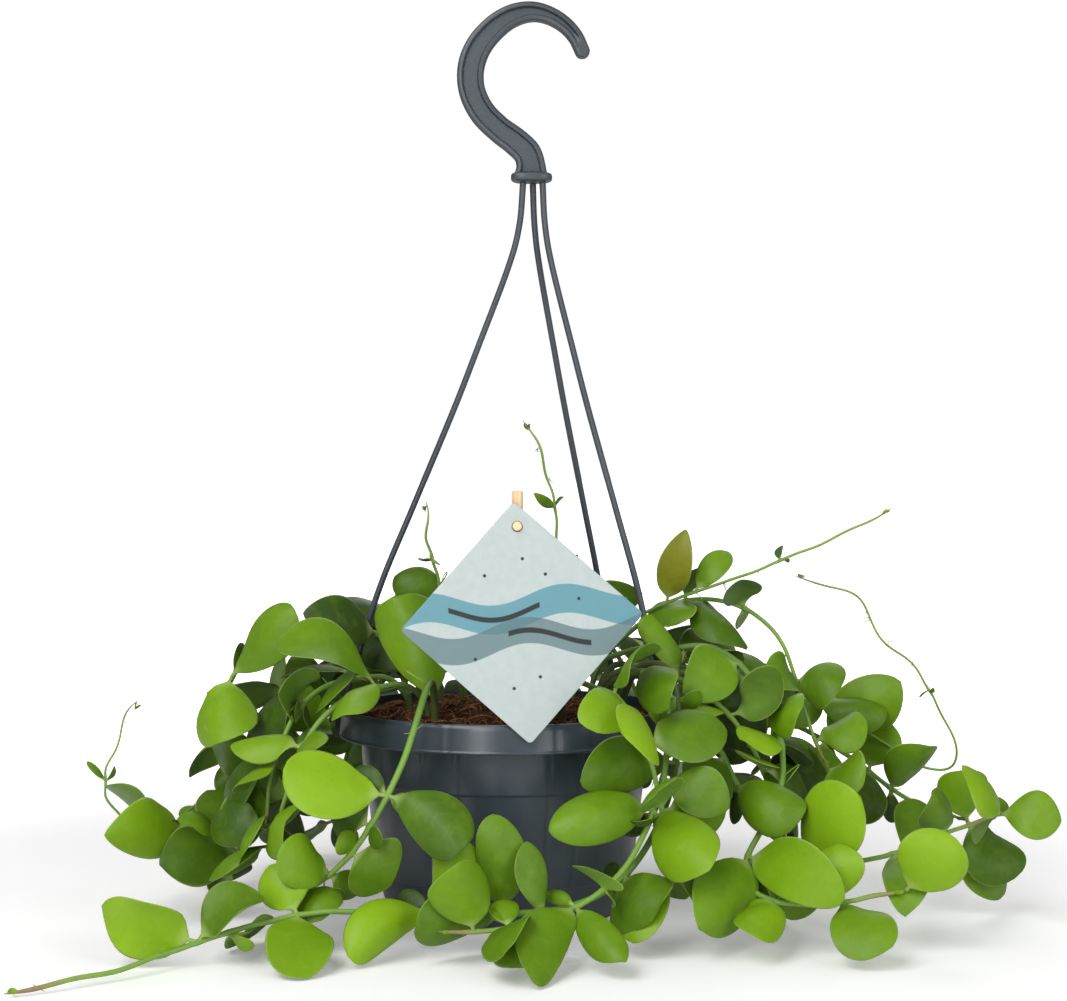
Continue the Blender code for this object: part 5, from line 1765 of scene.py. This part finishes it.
    def pushed_out_of_pot(self, points: Array, radius: float) -> Array:
        """Points moved clear of the pot, its soil and the floor: out beside the collar, up over it."""
        out = points.copy()
        reach = np.hypot(out[:, 0], out[:, 1])
        clear = self.pot.collar_radius + radius + self.spare
        limit_height = self.pot.height + radius + self.spare
        over = (reach < clear) & (out[:, 2] < limit_height)
        low = out[:, 2] < limit_height - self.below_rim
        beside = over & low & (reach > self.pot.collar_radius - self.inside_collar)
        scale = clear / np.maximum(reach, 1)
        out[beside, :2] *= scale[beside, None]
        raised = over & ~beside & (reach > self.pot.wall_top_radius)
        out[raised, 2] = limit_height
        inner = (reach <= self.pot.wall_top_radius) & (out[:, 2] < self.clears_soil)
        out[inner, 2] = self.clears_soil
        out[:, 2] = np.maximum(out[:, 2], radius + self.floor_clearance)
        return out

    def pushed_from(self, points: Array, radius: float, others: Array, other_radii: Array) -> Array:
        """Points moved a share of the way clear of the one placed point that each is deepest in."""
        apart = points[:, None] - others[None]
        distance = np.linalg.norm(apart, axis=2)
        short = (radius + other_radii + self.spare)[None] - distance
        worst = np.argmax(short, axis=1)
        rows = np.arange(len(points))
        depth = np.maximum(short[rows, worst], 0)
        return points + unit(apart[rows, worst] + (1e-4, 2e-4, 3e-4)) * depth[:, None] * self.push_share

    def settled(self, vine: Vine, placed: Array, radii: Array) -> Array:
        """A stem's stations: straight up out of the soil, then eased clear of everything placed so far.

        Args:
            vine: The stem and the points of its route.
            placed: Points of everything placed so far.
            radii: The radius at each of them.

        Returns:
            The stem's stations, one a row.
        """
        x, y, _ = vine.route[0]
        rise = [(x, y, self.stem_root), (x, y, self.stem_root + 9), (x, y, self.clears_soil)]
        line = smooth_curve(rise + vine.route[1:], self.curve_step)
        held = line[:, 2] < self.clears_soil
        held[np.argmin(held) :] = False
        first = max(int(held.sum()), 2)
        line[:first, :2] = (x, y)
        home = line.copy()
        for _ in range(self.rounds):
            free = line[first:]
            free = self.pushed_from(free, vine.radius, placed, radii)
            free = self.pushed_out_of_pot(free, vine.radius)
            inner = free[1:-1]
            free[1:-1] = inner + self.evening * (0.5 * (free[:-2] + free[2:]) - inner)
            free = free + self.homing * (home[first:] - free)
            line[first:] = free
        return self.straightened(line, vine, placed, radii)

    def straightened(self, line: Array, vine: Vine, placed: Array, radii: Array) -> Array:
        """The stem's stations, with the straight runs between them eased clear too."""
        stations = evenly(line, self.station)
        off = stations[:, :2] - line[0, :2]
        upright = np.hypot(off[:, 0], off[:, 1]) < self.upright_within
        first = max(int(np.argmin(upright)), 2)
        stations[:first, :2] = line[0, :2]
        parts = 4
        share = np.arange((len(stations) - 1) * parts + 1) / parts
        weights = np.maximum(0, 1 - np.abs(share[:, None] - np.arange(len(stations))[None]))
        for _ in range(self.rounds):
            fine = weights @ stations
            moved = self.pushed_from(fine, vine.radius, placed, radii)
            moved = self.pushed_out_of_pot(moved, vine.radius)
            shift = (weights.T @ (moved - fine)) / weights.sum(axis=0)[:, None]
            stations[first:] += self.shift_share * shift[first:]
        return stations

    def spray_vine(self, spray: Spray) -> Vine:
        """A falling stem and its pairs of leaves: a quarter ellipse from over the rim down to its reach."""
        draw = random.Random(spray.name)

        def at(reach: float, height: float, share: float) -> Array:
            """A point of the route, turned by a share of the sway."""
            return np.array((*compass(spray.azimuth + spray.sway * share, reach), height))

        route = [at(44, self.clears_soil, 0), at(54, spray.crest - 4, 0.1), at(68, spray.crest, 0.2)]
        for step in range(1, 7):
            bend = math.radians(15 * step)
            reach = 74 + (spray.reach - 74) * math.sin(bend)
            route.append(at(reach, spray.end + (spray.crest - spray.end) * math.cos(bend), 0.2 + 0.13 * step))
        leaves = []
        for pair in range(spray.pairs):
            share = 0.36 + 0.62 * pair / max(spray.pairs - 1, 1)
            foot = smooth_curve(route, 2)
            foot = foot[int(share * (len(foot) - 1))]
            outward = unit((foot[0], foot[1], 0))
            sideways = np.cross((0, 0, 1), outward)
            for hand in (-1, 1):
                along = (
                    sideways * hand * draw.uniform(0.7, 1.0)
                    + outward * draw.uniform(0.1, 0.8)
                    + np.array((0, 0, draw.uniform(-0.6, 0.45)))
                )
                tip = foot + unit(along) * draw.uniform(*self.SPRAY_LENGTHS)
                tip[2] = max(tip[2], 4)
                width, tilt = draw.uniform(*self.SPRAY_WIDTHS), draw.uniform(*self.SPRAY_TILTS)
                leaves.append((share, tuple(tip), width, tilt, outward))
        return Vine(spray.name, spray.radius, [tuple(p) for p in route], leaves)

    def leaf_tries(
        self, name: str, index: int, foot: Array, leaf: tuple
    ) -> Iterator[tuple[Array, float, Array]]:
        """The leaf as measured, then ever freer seeded turns of it.

        Args:
            name: The vine's name, which seeds the turns.
            index: The leaf's place in the vine's list.
            foot: Where it leaves the stem.
            leaf: Its row of the list.

        Yields:
            Its tip, width and the way its upper face looks.
        """
        tip, width, tilt = np.asarray(leaf[1], float), leaf[2], math.radians(leaf[3])
        outward = np.asarray(leaf[4] if len(leaf) > 4 else (0.0, -1.0, 0.0), float)
        draw = random.Random(f"{name} {index}")
        for attempt in range(self.tries):
            free = attempt / self.tries
            reach = tip - foot
            bend = 0.0 if attempt == 0 else 0.25 + 0.9 * free
            reach = reach + np.linalg.norm(reach) * bend * random_way(draw)
            reach = unit(reach) * np.linalg.norm(tip - foot) * (1 - 0.35 * free * draw.random())
            turn = tilt + (0 if attempt == 0 else (0.5 + 1.2 * free) * draw.uniform(-1, 1))
            lean = 0 if attempt == 0 else (0.3 + 0.9 * free) * draw.uniform(-1, 1)
            facing = outward * math.cos(turn) + np.array((0, 0, math.sin(turn)))
            facing = facing + lean * unit(np.cross(reach, facing))
            yield foot + reach, width * (1 - 0.25 * free * draw.random()), unit(facing)

    def age_of(self, vine: Vine, label: str, tip: Array) -> float:
        """A leaf's age value, a random spread with painted light and shade laid on.

        Painted light makes it brighter towards the viewer, outside and high up; painted shade makes it darker
        deep in the mass.
        """
        if (vine.name, label) in self.AGES:
            return self.AGES[vine.name, label].value
        draw = random.Random(f"age {vine.name} {label}")
        reach = float(np.hypot(tip[0], tip[1]))
        # painted light and shade: front, high and outer leaves are painted brighter, leaves deep in the mass
        # painted darker
        front = float(smoothstep(-tip[1], -30, 120))
        high = float(smoothstep(tip[2], 10, 130))
        outer = float(smoothstep(reach, 80, 175))
        base = 0.04 + 0.32 * front + 0.14 * high + 0.18 * outer
        small = -0.1 if label.startswith("partner") else 0.0
        age = base + small + draw.uniform(-0.1, 0.28)
        return float(np.clip(age, LeafAge.OLDEST.value, LeafAge.BRIGHTEST.value))

    def blade(
        self, vine: Vine, label: str, foot: Array, tip: Array, width: float, facing: Array
    ) -> Shell:
        """One leaf as closed rings from inside the stem to its tip.

        At a share s of its length, the middle line is foot + s length along, raised by 4 s(1 - s) length
        times arch + bow (0.5 + s). For t = the share past the stalk, the half width is width/2 times
        t^base (1 - t)^end scaled to 1 at its widest. A ring is a flat rounded section of that half width,
        bent to the arc of curvature k = roll / (width/2): at a distance x from the midrib it is sin(kx)/k
        out and (1 - cos kx)/k down.

        Args:
            vine: The stem that it grows on.
            label: What seeds its habit, with the vine's name.
            foot: Where it leaves the stem's middle.
            tip: Its tip.
            width: Its greatest width.
            facing: The way its upper face looks.

        Returns:
            The closed leaf, with the values that its finish reads.
        """
        habit = BladeHabit.drawn(f"look {vine.name} {label}")
        along = unit(tip - foot)
        length = float(np.linalg.norm(tip - foot))
        normal = unit(facing - along * np.dot(facing, along))
        side = np.cross(along, normal)
        rows = self.leaf_rows if length > 8 else 10
        u = np.linspace(0, 1, rows)
        s = 0.4 * u + 0.6 * (0.5 - 0.5 * np.cos(math.pi * u))
        t = np.clip((s - self.petiole_share) / (1 - self.petiole_share), 0, 1)
        peak = habit.base / (habit.base + habit.end)
        outline = t**habit.base * (1 - t) ** habit.end / (peak**habit.base * (1 - peak) ** habit.end)
        stalk = min(self.petiole_radius, 0.62 * vine.radius, 0.045 * length) * 1.1
        half = np.hypot(stalk * np.sqrt(1 - t), width / 2 * outline)
        half[-1] = 0.05
        flesh = min(0.38, 0.025 * length) * (1 - t**6) + 0.08
        thick = stalk + (flesh - stalk) * smoothstep(t, 0.0, 0.2)
        turns = 2 * math.pi * np.arange(self.leaf_around) / self.leaf_around
        across = np.cos(turns)[None] * np.ones((rows, 1))
        grown = smoothstep(t, 0.0, 0.25)[:, None]
        off = half[:, None] * across
        roll = habit.roll * float(smoothstep(length, 6, 30))
        bent = roll * grown / (width / 2) * off
        skin = thick[:, None] * np.sign(np.sin(turns)) * np.abs(np.sin(turns)) ** 0.8
        flat = off * np.sinc(bent / math.pi) + skin * np.sin(bent)
        drop = 0.5 * bent * off * np.sinc(bent / 2 / math.pi) ** 2
        drop = drop + habit.crease * (np.hypot(off, 0.7) - 0.7) * grown
        wave = habit.wave * width * np.sin(2 * math.pi * t[:, None] * 1.1 + habit.phase + 1.9 * (across > 0))
        height = skin * np.cos(bent) - drop + wave * across**2 * grown
        spin = (habit.cant + habit.twist * (t[:, None] - 0.3)) * grown
        rise = length * (self.arch + habit.bow * (0.5 + s)) * 4 * s * (1 - s)
        lean = length * habit.sweep * 4 * s * (1 - s)
        middle = foot + along * (length * s)[:, None] + normal * rise[:, None] + side * lean[:, None]
        out = (flat * np.cos(spin) - height * np.sin(spin))[..., None] * side
        up = (flat * np.sin(spin) + height * np.cos(spin))[..., None] * normal
        rings = middle[:, None] + out + up
        rings[-1] = tip + 0.02 * (rings[-1] - rings[-1].mean(axis=0))
        rings[..., 2] = np.maximum(rings[..., 2], 0.35)
        ones = np.ones_like(across)
        values = {
            "along": t[:, None] * ones,
            "across": np.abs(across),
            "upper": (np.sin(turns)[None] > -0.05) * ones,
            # the leaves' age value also carries painted light and shade, set by their place in the mass
            "age": self.age_of(vine, label, tip) * ones,
        }
        return Shell.from_rings(rings, values).outward()

    def stem_shell(self, vine: Vine, stations: Array, used: list[int]) -> Shell:
        """The stem as a fine tube, swollen by a Gaussian bump where each leaf leaves it.

        Args:
            vine: The stem.
            stations: Where it was settled.
            used: The stations that a leaf leaves from.

        Returns:
            The closed tube, with its age value.
        """
        line = self.eased(smooth_curve(stations, self.stem_step))
        along = lengths(line)
        total = along[-1]
        share = along / total
        radii = vine.radius * (1 - 0.4 * share) * (0.4 + 0.6 * smoothstep(total - along, -1, 12))
        marks = lengths(stations) / lengths(stations)[-1] * total
        line = line + self.wander(vine, line, along, marks[used])
        for rank in set(used):
            bump = np.exp(-(((along - marks[rank]) / self.swelling_reach) ** 2))
            radii = radii * (1 + self.swelling * bump)
        radii[-1] *= 0.4
        line[:, 2] = np.maximum(line[:, 2], radii + 0.3)
        rings = swept(line, radii, self.stem_around)
        age = smoothstep(share, 0.04, 0.62) * 0.7 + 0.3 * smoothstep(share, 0.86, 1.0)
        tone = np.repeat(age[:, None], self.stem_around, axis=1)
        return Shell.from_rings(rings, {"age": tone}).outward()

    @staticmethod
    def wander(vine: Vine, line: Array, along: Array, held: Array) -> Array:
        """How far the stem winds off its line: two sines square to it that grow to the tip.

        A tendril winds most. The winding dies away as 1 - exp(-(d/7)^2) within a distance d of a leaf's foot.
        """
        draw = random.Random("wander " + vine.name)
        reach = 1.7 if "tendril" in vine.name or "sprig" in vine.name else 0.45
        across, up = frames_along(line)
        share = along / along[-1]
        size = reach * smoothstep(share, 0.35, 0.9)
        for mark in held:
            size = size * (1 - np.exp(-(((along - mark) / 7) ** 2)))
        first = np.sin(along / draw.uniform(4.5, 6.5) + draw.uniform(0, 6))
        second = np.sin(along / draw.uniform(5.5, 8.0) + draw.uniform(0, 6))
        return size[:, None] * (first[:, None] * across + second[:, None] * up)

    @staticmethod
    def eased(line: Array) -> Array:
        """A line with each inner point drawn halfway to the middle of its neighbours, a few times over."""
        for _ in range(5):
            line[1:-1] += 0.5 * (0.5 * (line[:-2] + line[2:]) - line[1:-1])
        return line


@dataclass
class Studio:
    """The pale floor, the soft lights and the camera at the photograph's view."""

    camera_place: Point = (12.9, -950.0, 200.0)
    camera_target: Point = (12.9, 0.0, 185.0)
    lens: float = 70.8
    sensor: float = 36.0
    ambient: float = 0.22
    backdrop: float = 1.02
    lit_place: Point = (0.0, 0.0, 0.12)

    LIGHTS = {
        "key": ((-0.7, -0.95, 1.3), (1.0, 1.0), 15.0),
        "fill": ((1.1, -0.8, 0.6), (1.2, 1.2), 3.8),
        "strip": ((-0.34, -1.2, 0.5), (0.16, 1.0), 5.5),
        "side strip": ((0.62, -1.1, 0.45), (0.12, 1.0), 3.2),
        "rear": ((0.2, 1.1, 1.1), (1.0, 1.0), 6.5),
    }

    def build(self) -> None:
        """Sets the camera first, then the floor, the world and the lights."""
        self.camera()
        self.floor()
        self.world()
        for name, (place, size, power) in self.LIGHTS.items():
            self.area(name, place, size, power)

    def camera(self) -> None:
        """The camera, level but for the small pitch to its target."""
        lens = bpy.data.cameras.new("camera")
        lens.lens = self.lens
        lens.sensor_width = self.sensor
        made = shown("camera", lens)
        made.location = Vector(self.camera_place) * MM
        aim = (Vector(self.camera_target) - Vector(self.camera_place)).to_track_quat("-Z", "Y")
        made.rotation_euler = aim.to_euler()
        bpy.context.scene.camera = made

    def floor(self) -> None:
        """A wide flat floor, as far as the camera sees."""
        reach = 30.0
        corners = [(-reach, -reach, 0), (reach, -reach, 0), (reach, reach, 0), (-reach, reach, 0)]
        mesh = bpy.data.meshes.new("floor")
        mesh.from_pydata(corners, [], [(0, 1, 2, 3)])
        mesh.materials.append(PaleFloor().material())
        shown("floor", mesh)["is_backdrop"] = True

    def world(self) -> None:
        """Dim even light from all round, with a white background where the camera looks straight at it."""
        world = bpy.data.worlds.new("studio")
        world.use_nodes = True
        tree = world.node_tree
        dim = tree.nodes["Background"]
        dim.inputs["Color"].default_value = (1.0, 1.0, 1.0, 1.0)
        dim.inputs["Strength"].default_value = self.ambient
        seen = tree.nodes.new("ShaderNodeBackground")
        seen.inputs["Strength"].default_value = self.backdrop
        seen.inputs["Color"].default_value = (1.0, 1.0, 1.0, 1.0)
        path = tree.nodes.new("ShaderNodeLightPath")
        mixed = tree.nodes.new("ShaderNodeMixShader")
        tree.links.new(path.outputs["Is Camera Ray"], mixed.inputs[0])
        tree.links.new(dim.outputs[0], mixed.inputs[1])
        tree.links.new(seen.outputs[0], mixed.inputs[2])
        tree.links.new(mixed.outputs[0], tree.nodes["World Output"].inputs["Surface"])
        bpy.context.scene.world = world
        bpy.context.scene.view_settings.view_transform = "Standard"

    def area(self, name: str, place: Point, size: tuple[float, float], power: float) -> None:
        """A soft light that faces the plant."""
        light = bpy.data.lights.new(name, "AREA")
        light.shape = "RECTANGLE"
        light.size, light.size_y = size
        light.energy = power
        made = shown(name, light)
        made.location = place
        aim = (Vector(self.lit_place) - Vector(place)).to_track_quat("-Z", "Y")
        made.rotation_euler = aim.to_euler()


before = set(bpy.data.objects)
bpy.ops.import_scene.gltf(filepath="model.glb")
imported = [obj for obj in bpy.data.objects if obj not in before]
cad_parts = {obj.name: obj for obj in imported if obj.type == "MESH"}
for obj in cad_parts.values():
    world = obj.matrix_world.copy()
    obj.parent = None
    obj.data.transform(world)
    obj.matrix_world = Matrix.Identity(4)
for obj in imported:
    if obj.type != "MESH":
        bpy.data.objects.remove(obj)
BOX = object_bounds()


def main() -> None:
    """Builds every sub-assembly in order."""
    logging.basicConfig(level=logging.INFO, format="%(name)s %(message)s")
    Studio().build()
    pot, hanger, card = Pot(), Hanger(), CardOnStick()
    pot.build()
    Soil().build()
    hanger.build()
    card.build()
    Foliage().build(pot, hanger, card)


if __name__ == "__main__":
    main()
